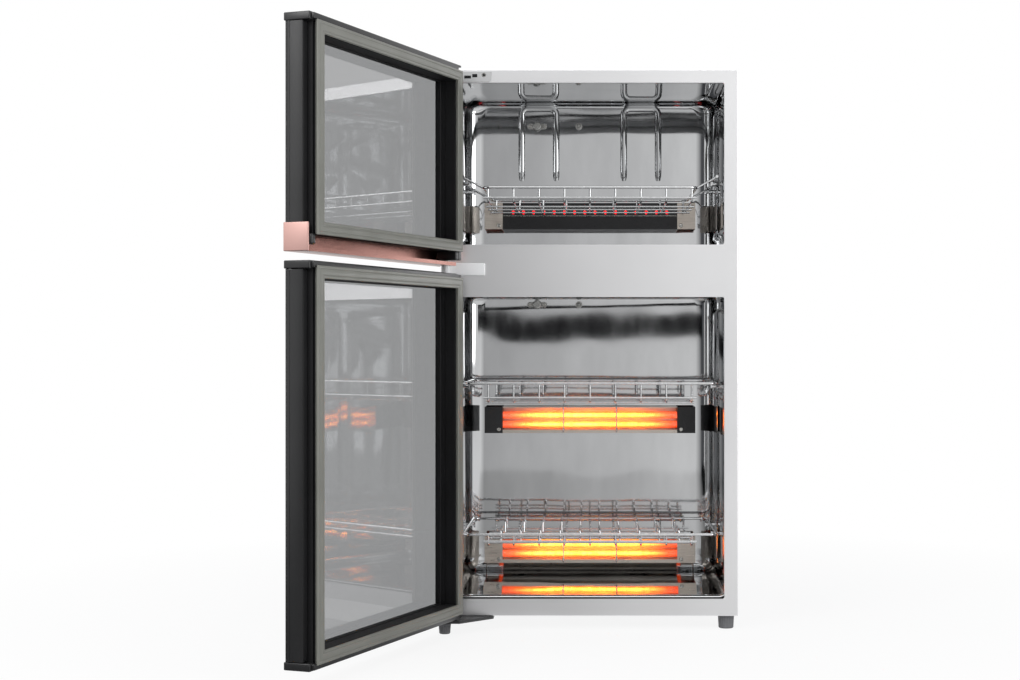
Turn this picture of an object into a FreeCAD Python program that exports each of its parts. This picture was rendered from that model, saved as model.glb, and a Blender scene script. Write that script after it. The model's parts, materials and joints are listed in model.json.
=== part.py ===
import FreeCAD, Part
import math
import os

from FreeCAD import Vector

# Two-chamber dish sterilizer cabinet: sheet-metal case, polished steel liners, wire racks,
# quartz heaters and two glazed doors that stand open. Millimetres, +Z up, front towards -Y.
# The origin is the centre of the base panel's underside.
os.makedirs("parts", exist_ok=True)

# ---------------------------------------------------------------- driving dimensions
# cabinet body
cabinet_width = 430.0
cabinet_depth = 330.0
cabinet_height = 793.0
case_sheet = 0.8
frame_sheet = 1.5
frame_depth = 14.0
frame_edge_radius = 1.2
stile_width = 20.0
top_rail_height = 19.0
upper_opening_height = 235.0
mid_rail_height = 76.0
bottom_rail_height = 25.0
opening_radius = 3.0
opening_return = 6.0
return_lift = 11.0

# liners
liner_sheet = 1.0
service_gap = 30.0
liner_step = 4.0
liner_flange = 4.5
liner_corner_radius = 20.0
pan_depth = 24.0
upper_pan_edge_radius = 14.0
lower_pan_edge_radius = 5.0
upper_ceiling_rise = 12.0
upper_floor_drop = 8.0
lower_ceiling_rise = 10.0
lower_floor_rise = 3.0
pad_height = 3.0
pad_gap = 14.0
pad_front_margin = 22.0
pad_back_margin = 6.0
pad_end_margin = 24.0
pad_corner_radius = 14.0
pad_edge_radius = 2.2
bead_radius = 3.5
bead_stand = 3.0
bead_width = 66.0
bead_spacing = 166.0
bead_bend_radius = 9.0
bead_length = 100.0
bead_drop = 11.0

# base, feet and the pieces between the shells
base_flange = 14.0
foot_height = 20.0
foot_top_radius = 12.0
foot_bottom_radius = 11.0
foot_edge_radius = 1.5
foot_inset_x = 16.0
foot_inset_y = 20.0
hinge_foot_radius = 9.0
hinge_foot_taper = 1.2
insulation_thickness = 12.0
insulation_gap = 0.3
insulation_margin = 18.0
shelf_lift = 8.0
shelf_sheet = 1.0
shelf_flange = 12.0
shelf_front_inset = 40.0
shelf_back_inset = 22.0
board_length = 150.0
board_depth = 90.0
board_thickness = 1.6
board_x = -60.0
standoff_height = 6.0
standoff_radius = 3.0
standoff_inset = 6.0
standoff_bite = 0.2
relay_count = 3
relay_pitch = 24.0
relay_length = 18.0
relay_depth = 14.0
relay_height = 15.0
capacitor_radius = 8.0
capacitor_height = 20.0
transformer_x = 70.0
transformer_length = 46.0
transformer_depth = 36.8
transformer_height = 34.0
transformer_foot = 9.0
transformer_foot_sheet = 1.5
coil_length = 25.3
coil_depth = 52.9

# screws
screw_radius = 1.9
screw_head_radius = 3.3
screw_head_height = 2.0
screw_length = 7.0
screw_clearance = 0.12
recess_width = 1.0
recess_depth = 0.9
recess_arm = 2.0
sink_depth = 1.0
screw_edge_radius = 0.9

# heaters on the back walls
heater_side_gap = 30.0
heater_height = 42.0
heater_reach = 42.0
heater_bracket_width = 29.0
heater_sheet = 1.0
heater_screw_inset = 6.0
bottom_heater_lift = 16.0
mid_heater_lift = 224.0
upper_heater_lift = 48.0
tube_radius = 5.5
tube_wall = 1.0
tube_plug = 8.0
tube_clearance = 0.1
tube_setback = 14.0
tube_pitch = 15.0
filament_radius = 2.4
guard_wire_radius = 1.1
guard_spacing = 85.0
guard_stand = 4.0
guard_lift = 2.2
guard_return = 6.6
guard_bend = 1.8
heat_hole_count = 16
heat_hole_pitch = 16.4
heat_hole_radius = 2.8
small_hole_radius = 1.7
heat_hole_rise = 27.0
small_hole_rise = 37.5

# sensors on the back walls
upper_sensor_drop = 37.0
lower_sensor_drop = 14.0
thermostat_x = -86.0
thermostat_radius = 7.5
thermostat_height = 6.0
thermostat_edge_radius = 2.5
thermostat_rim = 1.5
thermostat_ear = 11.7
ear_thickness = 1.2
ear_radius = 4.5
ear_flat = 0.2
probe_x = -18.0
probe_radius = 3.2
probe_length = 15.0
probe_tail = 6.0
probe_edge_radius = 2.2
probe_nut_radius = 5.5
probe_nut = 3.0

# racks
ring_wire_radius = 2.0
rack_wire_radius = 1.5
rack_weld = 0.5
rack_front_gap = 20.0
rack_length = 230.0
rack_ring_bend = 10.0
basket_bend = 6.0
wire_end_rise = 0.4
rail_side_gap = 13.0
hanger_reach = 30.0
basket_wire_pitch = 37.3
basket_wire_count = 9
rack_cross_count = 3
upper_rack_lift = 93.0
upper_basket_drop = 21.0
upper_rail_rise = 16.0
hanger_inset = 20.0
bowl_rack_lift = 309.0
bowl_basket_drop = 27.0
plate_rack_lift = 88.0
plate_basket_drop = 16.0
divider_pitch = 29.2
divider_count = 10
divider_rise = 21.0
divider_span = 64.0
divider_lean = 4.0
divider_bend = 4.8
divider_wire_radius = 1.35
divider_inset = 17.0
rack_lift_gap = 0.3
peg_radius = 3.0
peg_head_radius = 5.0
peg_head = 2.0
peg_rail_overlap = 3.0

# doors
door_rest_angle = 110.5
door_close_gap = 1.5
door_profile_depth = 25.0
door_flange_depth = 11.0
door_flange_inset = 4.0
door_lip = 1.6
door_lip_setback = 1.0
door_edge_radius = 2.0
lower_door_lift = 2.4
door_split_gap = 11.0
door_overlap = 33.0
cap_height = 10.0
cap_overhang = 2.2
cap_depth = 32.0
cap_edge_radius = 0.8
gasket_height = 5.0
gasket_width = 15.0
gasket_inset = 7.0
gasket_round = 1.5
gasket_corner = 4.0
gasket_groove = 1.0
glass_thickness = 4.0
glass_clearance = 0.2
handle_height = 35.0
handle_wall = 2.2
handle_lip = 2.5
handle_upturn = 5.0
handle_end = 3.0
handle_corner = 3.0
handle_reveal = 21.0
stile_foot_gap = 8.0

# hinges
pivot_inset = 7.0
pivot_back = 11.0
pin_radius = 2.5
pin_running_gap = 0.06
pin_reach = 9.0
bush_radius = 3.9
bush_flange_radius = 5.5
bush_length = 10.0
bush_end_gap = 0.8
thrust_gap = 0.3
hinge_side_inset = 5.0
top_tongue_width = 9.0
top_tongue = 3.0
top_tongue_drop = 3.5
tongue_gap = 0.8
top_flange_sheet = 1.2
top_flange_right = 72.0
top_flange_height = 14.5
top_flange_radius = 5.0
top_screw_inset = 11.0
top_screw_drop = 4.5
mid_arm_width = 9.0
mid_boss_radius = 5.0
mid_hinge_height = 17.0
mid_hinge_lift = 5.5
mid_hinge_right = 62.0
mid_flange_sheet = 3.0
mid_flange_radius = 1.0
mid_screw_inset = 8.0
mid_screw_pitch = 18.0
mid_notch_gap = 1.5
bottom_plate = 4.0
bottom_plate_left = 1.0
bottom_plate_right = 75.0
bottom_plate_back = 24.0
bottom_plate_reach = 14.0
bottom_plate_nose = 22.4
bottom_plate_corner = 2.5
bottom_screw_inset = 14.0
bottom_screw_back = 7.0
hinge_notch_width = 14.0
hinge_notch_skin = 1.0

# back panel
vent_length = 34.0
vent_width = 3.0
vent_columns = 5
vent_rows = 4
vent_pitch_x = 46.0
vent_pitch_z = 11.0
vent_low_z = 150.0
vent_high_drop = 93.0
back_screw_inset = 9.0
back_screw_end = 12.0
gland_bore_radius = 4.0
gland_body_radius = 6.5
gland_flange_radius = 9.5
gland_flange = 3.0
gland_length = 14.0
gland_edge_radius = 1.2
gland_inset = 50.0
gland_z = 60.0

# ---------------------------------------------------------------- derived places
half_width = cabinet_width / 2
front_y = -cabinet_depth / 2
back_y = cabinet_depth / 2
opening_half = half_width - stile_width
upper_open_top = cabinet_height - top_rail_height
upper_open_bottom = upper_open_top - upper_opening_height
lower_open_top = upper_open_bottom - mid_rail_height
lower_open_bottom = bottom_rail_height
case_front = front_y + frame_depth
case_back = back_y - case_sheet
case_inner_half = half_width - case_sheet

liner_half = opening_half + liner_step
liner_front = front_y + frame_sheet
liner_back = back_y - service_gap
pan_front = liner_back - pan_depth
upper_ceiling = upper_open_top + upper_ceiling_rise
upper_floor = upper_open_bottom - upper_floor_drop
lower_ceiling = lower_open_top + lower_ceiling_rise
lower_floor = lower_open_bottom + lower_floor_rise
upper_sensor_z = upper_ceiling - upper_sensor_drop
lower_sensor_z = lower_ceiling - lower_sensor_drop
shelf_z = lower_ceiling + liner_sheet + shelf_lift
heater_half_width = liner_half - heater_side_gap
heater_front = liner_back - heater_reach
trough_half = heater_half_width - heater_bracket_width
bottom_heater_z = lower_floor + bottom_heater_lift
mid_heater_z = lower_floor + mid_heater_lift
upper_heater_z = upper_floor + upper_heater_lift
vent_high_z = cabinet_height - vent_high_drop
gland_x = half_width - gland_inset

door_depth = door_profile_depth + door_flange_depth + gasket_height
door_outer_y = front_y - door_close_gap - door_depth
door_top = cabinet_height
handle_bottom = upper_open_bottom - door_overlap
handle_top = handle_bottom + handle_height
upper_rail_bottom = handle_bottom + handle_reveal
upper_stile_bottom = handle_bottom + stile_foot_gap
lower_door_top = handle_bottom - door_split_gap
lower_door_bottom = lower_door_lift
window_inset = gasket_inset + gasket_width
flange_back = door_profile_depth + door_flange_depth

pivot_x = -half_width + pivot_inset
pivot_y = door_outer_y + pivot_back
top_tongue_top = cabinet_height - top_tongue_drop
top_tongue_bottom = top_tongue_top - top_tongue
mid_hinge_top = handle_bottom + mid_hinge_lift
mid_hinge_bottom = mid_hinge_top - mid_hinge_height
hinge_left = -half_width + hinge_side_inset

rack_front = front_y + rack_front_gap
rack_back = rack_front + rack_length
rail_half_width = liner_half - rail_side_gap
basket_half_width = rail_half_width - hanger_reach
upper_rack_ring_z = upper_floor + upper_rack_lift
upper_rack_floor_z = upper_rack_ring_z - upper_basket_drop
upper_rack_rail_z = upper_rack_ring_z + upper_rail_rise
bowl_rack_ring_z = lower_floor + bowl_rack_lift
bowl_rack_floor_z = bowl_rack_ring_z - bowl_basket_drop
plate_rack_ring_z = lower_floor + plate_rack_lift
plate_rack_floor_z = plate_rack_ring_z - plate_basket_drop

up = Vector(0, 0, 1)
down = Vector(0, 0, -1)
to_front = Vector(0, -1, 0)
to_back = Vector(0, 1, 0)
along_x = Vector(1, 0, 0)
reach_over = 1.0
small_step = 1e-3


# ---------------------------------------------------------------- helpers
def box(x0, x1, y0, y1, z0, z1):
    return Part.makeBox(x1 - x0, y1 - y0, z1 - z0, Vector(x0, y0, z0))


def rod(radius, start, end):
    run = end - start
    return Part.makeCylinder(radius, run.Length, start, run)


def near(value, wanted):
    return abs(value - wanted) < small_step


def fillet_where(shape, radius, chosen):
    return shape.makeFillet(radius, [edge for edge in shape.Edges if chosen(edge)])


def runs_along(edge, axis):
    if not isinstance(edge.Curve, Part.Line):
        return False
    step = edge.Vertexes[-1].Point - edge.Vertexes[0].Point
    return near(abs(step.dot(axis)), step.Length)


def bent_path(points, bend):
    """Straight runs joined by tangent arcs of the given radius."""
    edges = []
    last = points[0]
    for before, corner, after in zip(points, points[1:], points[2:]):
        toward = (before - corner).normalize()
        away = (after - corner).normalize()
        half_turn = toward.getAngle(away) / 2
        reach = bend / math.tan(half_turn)
        first = corner + toward * reach
        second = corner + away * reach
        inward = (toward + away).normalize()
        middle = corner + inward * (bend / math.sin(half_turn) - bend)
        edges.append(Part.LineSegment(last, first).toShape())
        edges.append(Part.Arc(first, middle, second).toShape())
        last = second
    edges.append(Part.LineSegment(last, points[-1]).toShape())
    return Part.Wire(edges)


def bent_wire(points, radius, bend):
    path = bent_path(points, bend)
    ring = Part.Wire([Part.Circle(points[0], points[1] - points[0], radius).toShape()])
    return path.makePipeShell([ring], True, True)


def fuse_all(shapes):
    return shapes[0].multiFuse(shapes[1:])


def cross_recess(head, crown, out):
    """Cut the driver's cross into a screw head; crown is the middle of its top."""
    across = up if abs(out.z) < 0.5 else along_x
    side = out.cross(across)
    floor = crown - out * recess_depth
    for long_way, short_way in ((across, side), (side, across)):
        corner = floor - long_way * recess_arm - short_way * recess_width / 2
        length = long_way * recess_arm * 2
        width = short_way * recess_width
        outline = [corner, corner + length, corner + length + width, corner + width, corner]
        head = head.cut(Part.Face(Part.makePolygon(outline)).extrude(out * screw_head_height))
    return head


def screw(seat, out):
    """Pan-head screw with a cross recess: its head stands on seat, its shank goes in."""
    shank = rod(screw_radius, seat - out * screw_length, seat)
    crown = seat + out * screw_head_height
    head = rod(screw_head_radius, seat, crown)
    head = fillet_where(head, screw_edge_radius,
                        lambda e: near((e.CenterOfMass - seat).dot(out), screw_head_height))
    return shank.fuse(cross_recess(head, crown, out))


def flat_screw(seat, out):
    """Countersunk screw whose head lies flush with seat."""
    shank = rod(screw_radius, seat - out * screw_length, seat)
    head = Part.makeCone(screw_head_radius, screw_radius, sink_depth, seat, -out)
    return cross_recess(shank.fuse(head), seat, out)


def sink_hole(seat, out):
    mouth = screw_head_radius + screw_clearance
    sink = Part.makeCone(mouth, screw_radius + screw_clearance, sink_depth + screw_clearance, seat, -out)
    return sink.fuse(screw_hole(seat, out))


def screw_hole(seat, out):
    return rod(screw_radius + screw_clearance, seat - out * (screw_length + reach_over), seat + out * reach_over)


def save(name, shape):
    if len(shape.Solids) == 1:
        shape = shape.Solids[0].removeSplitter()
    assert shape.isValid(), name
    shape.exportStep("parts/" + name + ".step")
    limits = shape.BoundBox
    print("%-26s solids %2d  x %.1f..%.1f  y %.1f..%.1f  z %.1f..%.1f" % (
        name, len(shape.Solids), limits.XMin, limits.XMax, limits.YMin, limits.YMax, limits.ZMin, limits.ZMax))


def save_group(name, shapes):
    save(name, Part.makeCompound(shapes))


# ---------------------------------------------------------------- screw seats
top_screw_seats = [
    Vector(-half_width + top_flange_right - top_screw_inset, front_y - top_flange_sheet,
           top_tongue_top - top_screw_drop),
]
mid_screw_seats = [
    Vector(-half_width + mid_hinge_right - inset, front_y - mid_flange_sheet,
           (mid_hinge_top + mid_hinge_bottom) / 2)
    for inset in (mid_screw_inset, mid_screw_inset + mid_screw_pitch)
]
bottom_screw_seats = [
    Vector(-half_width + place, front_y + bottom_plate_back - bottom_screw_back, -bottom_plate)
    for place in (bottom_plate_left + bottom_screw_inset, bottom_plate_right - bottom_screw_inset)
]
back_screw_seats = [
    Vector(side * (half_width - back_screw_inset), back_y, z)
    for side in (-1, 1)
    for z in (back_screw_end, cabinet_height / 2, cabinet_height - back_screw_end)
]


# ---------------------------------------------------------------- case
def front_frame():
    frame = box(-half_width, half_width, front_y, case_front, 0, cabinet_height)
    frame = fillet_where(frame, frame_edge_radius, lambda e: near(e.CenterOfMass.y, front_y))
    inner = half_width - frame_sheet
    frame = frame.cut(box(-inner, inner, front_y + frame_sheet, case_front + reach_over,
                          frame_sheet, cabinet_height - frame_sheet))
    openings = (
        (upper_open_bottom, upper_open_top, upper_floor),
        (lower_open_bottom, lower_open_top, lower_floor),
    )
    for low, high, floor in openings:
        hole = box(-opening_half, opening_half, front_y - reach_over, front_y + opening_return, low, high)
        hole = fillet_where(hole, opening_radius, lambda e: runs_along(e, to_back))
        wide = opening_half + frame_sheet
        rim = box(-wide, wide, front_y + frame_sheet, front_y + opening_return,
                  floor + return_lift, high + frame_sheet)
        rim = fillet_where(rim, opening_radius + frame_sheet,
                           lambda e: runs_along(e, to_back) and e.CenterOfMass.z > high)
        frame = frame.fuse(rim).cut(hole)
    for seat in top_screw_seats + mid_screw_seats:
        frame = frame.cut(screw_hole(seat, to_front))
    return frame


def outer_case():
    outer = box(-half_width, half_width, case_front, case_back, 0, cabinet_height)
    return outer.cut(box(-case_inner_half, case_inner_half, case_front - reach_over,
                         case_back + reach_over, -reach_over, cabinet_height - case_sheet))


def back_panel():
    plate = box(-half_width, half_width, case_back, back_y, 0, cabinet_height)
    cuts = [rod(gland_body_radius, Vector(gland_x, case_back - reach_over, gland_z),
                Vector(gland_x, back_y + reach_over, gland_z))]
    for base_z in (vent_low_z, vent_high_z):
        for column in range(vent_columns):
            for row in range(vent_rows):
                x = (column - (vent_columns - 1) / 2) * vent_pitch_x
                z = base_z + row * vent_pitch_z
                cuts.append(box(x - vent_length / 2, x + vent_length / 2, case_back - reach_over,
                                back_y + reach_over, z, z + vent_width))
    cuts += [screw_hole(seat, to_back) for seat in back_screw_seats]
    for cut in cuts:
        plate = plate.cut(cut)
    return plate


def base_panel():
    tray = box(-case_inner_half, case_inner_half, case_front, case_back, 0, base_flange)
    inner = case_inner_half - case_sheet
    tray = tray.cut(box(-inner, inner, case_front + case_sheet, case_back - case_sheet,
                        case_sheet, base_flange + reach_over))
    for seat in bottom_screw_seats:
        tray = tray.cut(screw_hole(seat, down))
    for seat in back_screw_seats:
        tray = tray.cut(screw_hole(seat, to_back))
    return tray


def foot(place, top_z, top_radius, bottom_radius):
    sole = Vector(place.x, place.y, -foot_height)
    body = Part.makeCone(bottom_radius, top_radius, foot_height + top_z, sole)
    return fillet_where(body, foot_edge_radius, lambda e: near(e.CenterOfMass.z, -foot_height))


def cord_gland():
    body = rod(gland_body_radius, Vector(gland_x, back_y + gland_flange - gland_length, gland_z),
               Vector(gland_x, back_y, gland_z))
    outer_end = back_y + gland_flange
    flange = rod(gland_flange_radius, Vector(gland_x, back_y, gland_z), Vector(gland_x, outer_end, gland_z))
    flange = fillet_where(flange, gland_edge_radius, lambda e: near(e.CenterOfMass.y, outer_end))
    bore = rod(gland_bore_radius, Vector(gland_x, back_y - gland_length, gland_z),
               Vector(gland_x, back_y + gland_length, gland_z))
    return body.fuse(flange).cut(bore)


def case_parts():
    save("front_frame", front_frame())
    save("outer_case", outer_case())
    save("back_panel", back_panel())
    save("base_panel", base_panel())
    save_group("back_panel_screws", [screw(seat, to_back) for seat in back_screw_seats])
    places = {
        "foot_front_right": (half_width - foot_inset_x, front_y + foot_inset_y),
        "foot_back_right": (half_width - foot_inset_x, back_y - foot_inset_y),
        "foot_back_left": (-half_width + foot_inset_x, back_y - foot_inset_y),
    }
    for name, (x, y) in places.items():
        save(name, foot(Vector(x, y, 0), 0, foot_top_radius, foot_bottom_radius))
    save("foot_hinge_side", foot(Vector(pivot_x, pivot_y, 0), -bottom_plate,
                                 hinge_foot_radius, hinge_foot_radius - hinge_foot_taper))
    save("cord_gland", cord_gland())


# ---------------------------------------------------------------- liners
def tube_block(grow, y0, y1, floor, ceiling):
    half = liner_half + grow
    block = box(-half, half, y0, y1, floor - grow, ceiling + grow)
    return fillet_where(block, liner_corner_radius + grow, lambda e: runs_along(e, to_back))


def pad_block(side, y0, y1, z0, z1, inset):
    outside = side * (liner_half + liner_sheet)
    crown = side * (liner_half - pad_height + inset)
    x0, x1 = sorted((outside, crown))
    block = box(x0, x1, y0 + inset, y1 - inset, z0 + inset, z1 - inset)
    block = fillet_where(block, pad_corner_radius - inset, lambda e: runs_along(e, along_x))
    return fillet_where(block, pad_edge_radius - inset, lambda e: near(e.CenterOfMass.x, crown))


pad_width = (pan_front - liner_front - pad_front_margin - pad_back_margin - pad_gap) / 2
pad_starts = [liner_front + pad_front_margin + index * (pad_width + pad_gap) for index in range(2)]


def liner_wrap(floor, ceiling):
    shell = tube_block(liner_sheet, liner_front, pan_front, floor, ceiling)
    wide = liner_half + liner_sheet + liner_flange
    flange = box(-wide, wide, liner_front, liner_front + liner_sheet,
                 floor - liner_sheet - liner_flange, ceiling + liner_sheet + liner_flange)
    hollow = tube_block(0, liner_front - reach_over, pan_front + reach_over, floor, ceiling)
    shell = shell.fuse(flange).cut(hollow)
    for side in (-1, 1):
        for start in pad_starts:
            spans = (start, start + pad_width, floor + pad_end_margin, ceiling - pad_end_margin)
            shell = shell.fuse(pad_block(side, *spans, 0)).cut(pad_block(side, *spans, liner_sheet))
    return shell


def pan_block(grow, floor, ceiling, edge_radius):
    block = tube_block(grow, pan_front, liner_back + grow, floor, ceiling)
    rear = liner_back + grow
    return fillet_where(block, edge_radius + grow, lambda e: near(e.CenterOfMass.y, rear))


def liner_pan(floor, ceiling, edge_radius, sensor_z):
    pan = pan_block(liner_sheet, floor, ceiling, edge_radius)
    pan = pan.cut(pan_block(0, floor, ceiling, edge_radius))
    rear = liner_back + liner_sheet
    places = [(thermostat_x + side * thermostat_ear, screw_radius + screw_clearance) for side in (-1, 1)]
    places += [(thermostat_x, thermostat_radius - thermostat_rim), (probe_x, probe_radius + screw_clearance)]
    for x, radius in places:
        pan = pan.cut(rod(radius, Vector(x, liner_back - reach_over, sensor_z),
                          Vector(x, rear + reach_over, sensor_z)))
    return pan


def bead(centre_x, top_z):
    """Half-round pressing in the shape of an upturned U, standing proud of the back wall."""
    half = bead_width / 2
    y = liner_back - bead_stand + bead_radius
    low = top_z - bead_length
    path = [Vector(centre_x - half, y, low), Vector(centre_x - half, y, top_z),
            Vector(centre_x + half, y, top_z), Vector(centre_x + half, y, low)]
    rib = bent_wire(path, bead_radius, bead_bend_radius)
    rib = rib.multiFuse([Part.makeSphere(bead_radius, end) for end in (path[0], path[-1])])
    return rib.common(box(-liner_half, liner_half, liner_back - bead_stand - reach_over,
                          liner_back + liner_sheet / 2, low - bead_width, top_z + bead_width))


def thermostat(z):
    face = liner_back - ear_thickness
    ear = box(thermostat_x - thermostat_ear - ear_radius, thermostat_x + thermostat_ear + ear_radius,
              face, liner_back, z - ear_radius, z + ear_radius)
    ear = fillet_where(ear, ear_radius - ear_flat / 2, lambda e: runs_along(e, to_back))
    can = rod(thermostat_radius, Vector(thermostat_x, liner_back, z),
              Vector(thermostat_x, liner_back - thermostat_height, z))
    can = fillet_where(can, thermostat_edge_radius,
                       lambda e: near(e.CenterOfMass.y, liner_back - thermostat_height))
    body = ear.fuse(can)
    for side in (-1, 1):
        body = body.cut(screw_hole(Vector(thermostat_x + side * thermostat_ear, face, z), to_front))
    return body


def probe(z):
    nut = rod(probe_nut_radius, Vector(probe_x, liner_back, z), Vector(probe_x, liner_back - probe_nut, z))
    tip = liner_back - probe_length
    stem = rod(probe_radius, Vector(probe_x, liner_back + probe_tail, z), Vector(probe_x, tip, z))
    stem = fillet_where(stem, probe_edge_radius, lambda e: near(e.CenterOfMass.y, tip))
    return nut.fuse(stem)


def liner_parts():
    upper_wrap = liner_wrap(upper_floor, upper_ceiling)
    for seat in top_screw_seats:
        upper_wrap = upper_wrap.cut(screw_hole(seat, to_front))
    save("upper_liner_wrap", upper_wrap)
    save("lower_liner_wrap", liner_wrap(lower_floor, lower_ceiling))
    upper_pan = liner_pan(upper_floor, upper_ceiling, upper_pan_edge_radius, upper_sensor_z)
    bead_top = upper_ceiling - bead_drop
    upper_pan = upper_pan.multiFuse([bead(side * bead_spacing / 2, bead_top) for side in (-1, 1)])
    save("upper_liner_back", upper_pan)
    save("lower_liner_back", liner_pan(lower_floor, lower_ceiling, lower_pan_edge_radius, lower_sensor_z))
    screws = []
    for name, z in (("upper", upper_sensor_z), ("lower", lower_sensor_z)):
        save(name + "_thermostat", thermostat(z))
        save(name + "_probe", probe(z))
        for side in (-1, 1):
            ear = Vector(thermostat_x + side * thermostat_ear, liner_back - ear_thickness, z)
            screws.append(screw(ear, to_front))
    save_group("sensor_screws", screws)


# ---------------------------------------------------------------- between the shells
def lower_insulation():
    inner = liner_half + liner_sheet + insulation_gap
    rear = liner_back + liner_sheet + insulation_gap
    low = lower_floor + insulation_margin
    high = lower_ceiling - insulation_margin
    outer_half = inner + insulation_thickness
    wool = box(-outer_half, outer_half, case_front + insulation_margin, rear + insulation_thickness,
               low, high)
    wool = wool.cut(box(-inner, inner, front_y, rear, low - reach_over, high + reach_over))
    window = thermostat_ear + ear_radius + screw_head_radius
    return wool.cut(box(thermostat_x - window, probe_x + window, liner_back, back_y,
                        lower_sensor_z - window, high + reach_over))


def mid_shelf():
    y0 = case_front + shelf_front_inset
    y1 = case_back - shelf_back_inset
    shelf = box(-case_inner_half, case_inner_half, y0, y1, shelf_z, shelf_z + shelf_sheet)
    for side in (-1, 1):
        x0, x1 = sorted((side * case_inner_half, side * (case_inner_half - shelf_sheet)))
        shelf = shelf.fuse(box(x0, x1, y0, y1, shelf_z, shelf_z + shelf_flange))
    return shelf


def control_board():
    deck = shelf_z + shelf_sheet
    board_z = deck + standoff_height
    face = board_z + board_thickness
    half_x = board_length / 2
    half_y = board_depth / 2
    parts = [box(board_x - half_x, board_x + half_x, -half_y, half_y, board_z, face)]
    for side_x in (-1, 1):
        for side_y in (-1, 1):
            place = Vector(board_x + side_x * (half_x - standoff_inset),
                           side_y * (half_y - standoff_inset), deck)
            parts.append(rod(standoff_radius, place, place + up * (standoff_height + standoff_bite)))
    for index in range(relay_count):
        x = board_x - half_x + relay_length + index * relay_pitch
        parts.append(box(x, x + relay_length, -half_y + relay_depth, -half_y + 2 * relay_depth,
                         board_z, face + relay_height))
    can = Vector(board_x + half_x / 2, half_y / 2, board_z)
    parts.append(rod(capacitor_radius, can, can + up * capacitor_height))
    return fuse_all(parts)


def transformer():
    deck = shelf_z + shelf_sheet
    core = box(transformer_x - transformer_length / 2, transformer_x + transformer_length / 2,
               -transformer_depth / 2, transformer_depth / 2, deck, deck + transformer_height)
    coil = box(transformer_x - coil_length / 2, transformer_x + coil_length / 2,
               -coil_depth / 2, coil_depth / 2,
               deck + transformer_foot, deck + transformer_height - transformer_foot)
    reach = transformer_length / 2 + transformer_foot
    feet = box(transformer_x - reach, transformer_x + reach, -transformer_foot, transformer_foot,
               deck, deck + transformer_foot_sheet)
    return fuse_all([core, coil, feet])


# ---------------------------------------------------------------- heaters
def heater_rows(base_z, count):
    middle = base_z + heater_height / 2
    return [middle + (index - (count - 1) / 2) * tube_pitch for index in range(count)]


def trough(base_z):
    """Channel that is open towards the dishes, behind the tubes."""
    top_z = base_z + heater_height
    channel = box(-trough_half, trough_half, heater_front, liner_back, base_z, top_z)
    channel = channel.cut(box(-trough_half - reach_over, trough_half + reach_over, heater_front - reach_over,
                              liner_back - heater_sheet, base_z + heater_sheet, top_z - heater_sheet))
    lip = box(-trough_half, trough_half, heater_front, heater_front + heater_sheet,
              base_z, base_z + tube_radius)
    return channel.fuse(lip)


def heat_housing(base_z):
    """The same channel closed by a front plate with two rows of holes."""
    top_z = base_z + heater_height
    housing = trough(base_z).fuse(box(-trough_half, trough_half, heater_front, heater_front + heater_sheet,
                                      base_z, top_z))
    for rise, radius in ((heat_hole_rise, heat_hole_radius), (small_hole_rise, small_hole_radius)):
        for index in range(heat_hole_count):
            x = (index - (heat_hole_count - 1) / 2) * heat_hole_pitch
            housing = housing.cut(rod(radius, Vector(x, heater_front - reach_over, base_z + rise),
                                      Vector(x, heater_front + heater_sheet + reach_over, base_z + rise)))
    return housing


def heater_bracket(side, base_z, rows, seat):
    near = side * trough_half
    far = side * heater_half_width
    top_z = base_z + heater_height
    x0, x1 = sorted((near, far))
    face = box(x0, x1, heater_front - heater_sheet, heater_front, base_z, top_z)
    x0, x1 = sorted((far, far - side * heater_sheet))
    cheek = box(x0, x1, heater_front - heater_sheet, liner_back, base_z, top_z)
    x0, x1 = sorted((near, near + side * heater_sheet))
    holder = box(x0, x1, heater_front - heater_sheet, liner_back, base_z, top_z)
    bracket = fuse_all([face, cheek, holder])
    for z in rows:
        bracket = bracket.cut(rod(tube_radius + tube_clearance,
                                  Vector(near - side * reach_over, heater_front + tube_setback, z),
                                  Vector(near + side * tube_plug, heater_front + tube_setback, z)))
    return bracket.cut(screw_hole(seat, to_front))


def quartz_tube(z):
    y = heater_front + tube_setback
    end = trough_half + tube_plug
    tube = rod(tube_radius, Vector(-end, y, z), Vector(end, y, z))
    inner = end - tube_plug
    return tube.cut(rod(tube_radius - tube_wall, Vector(-inner, y, z), Vector(inner, y, z)))


def filament(z):
    y = heater_front + tube_setback
    end = trough_half
    return rod(filament_radius, Vector(-end, y, z), Vector(end, y, z))


def guards(base_z):
    top_z = base_z + heater_height
    y = heater_front - guard_stand
    low_z = base_z + guard_lift
    high_z = top_z + guard_wire_radius
    wires = []
    for side in (-1, 1):
        x = side * guard_spacing / 2
        path = [Vector(x, heater_front, low_z), Vector(x, y, low_z),
                Vector(x, y, high_z), Vector(x, heater_front + guard_return, high_z)]
        wires.append(bent_wire(path, guard_wire_radius, guard_bend))
    return wires


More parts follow.
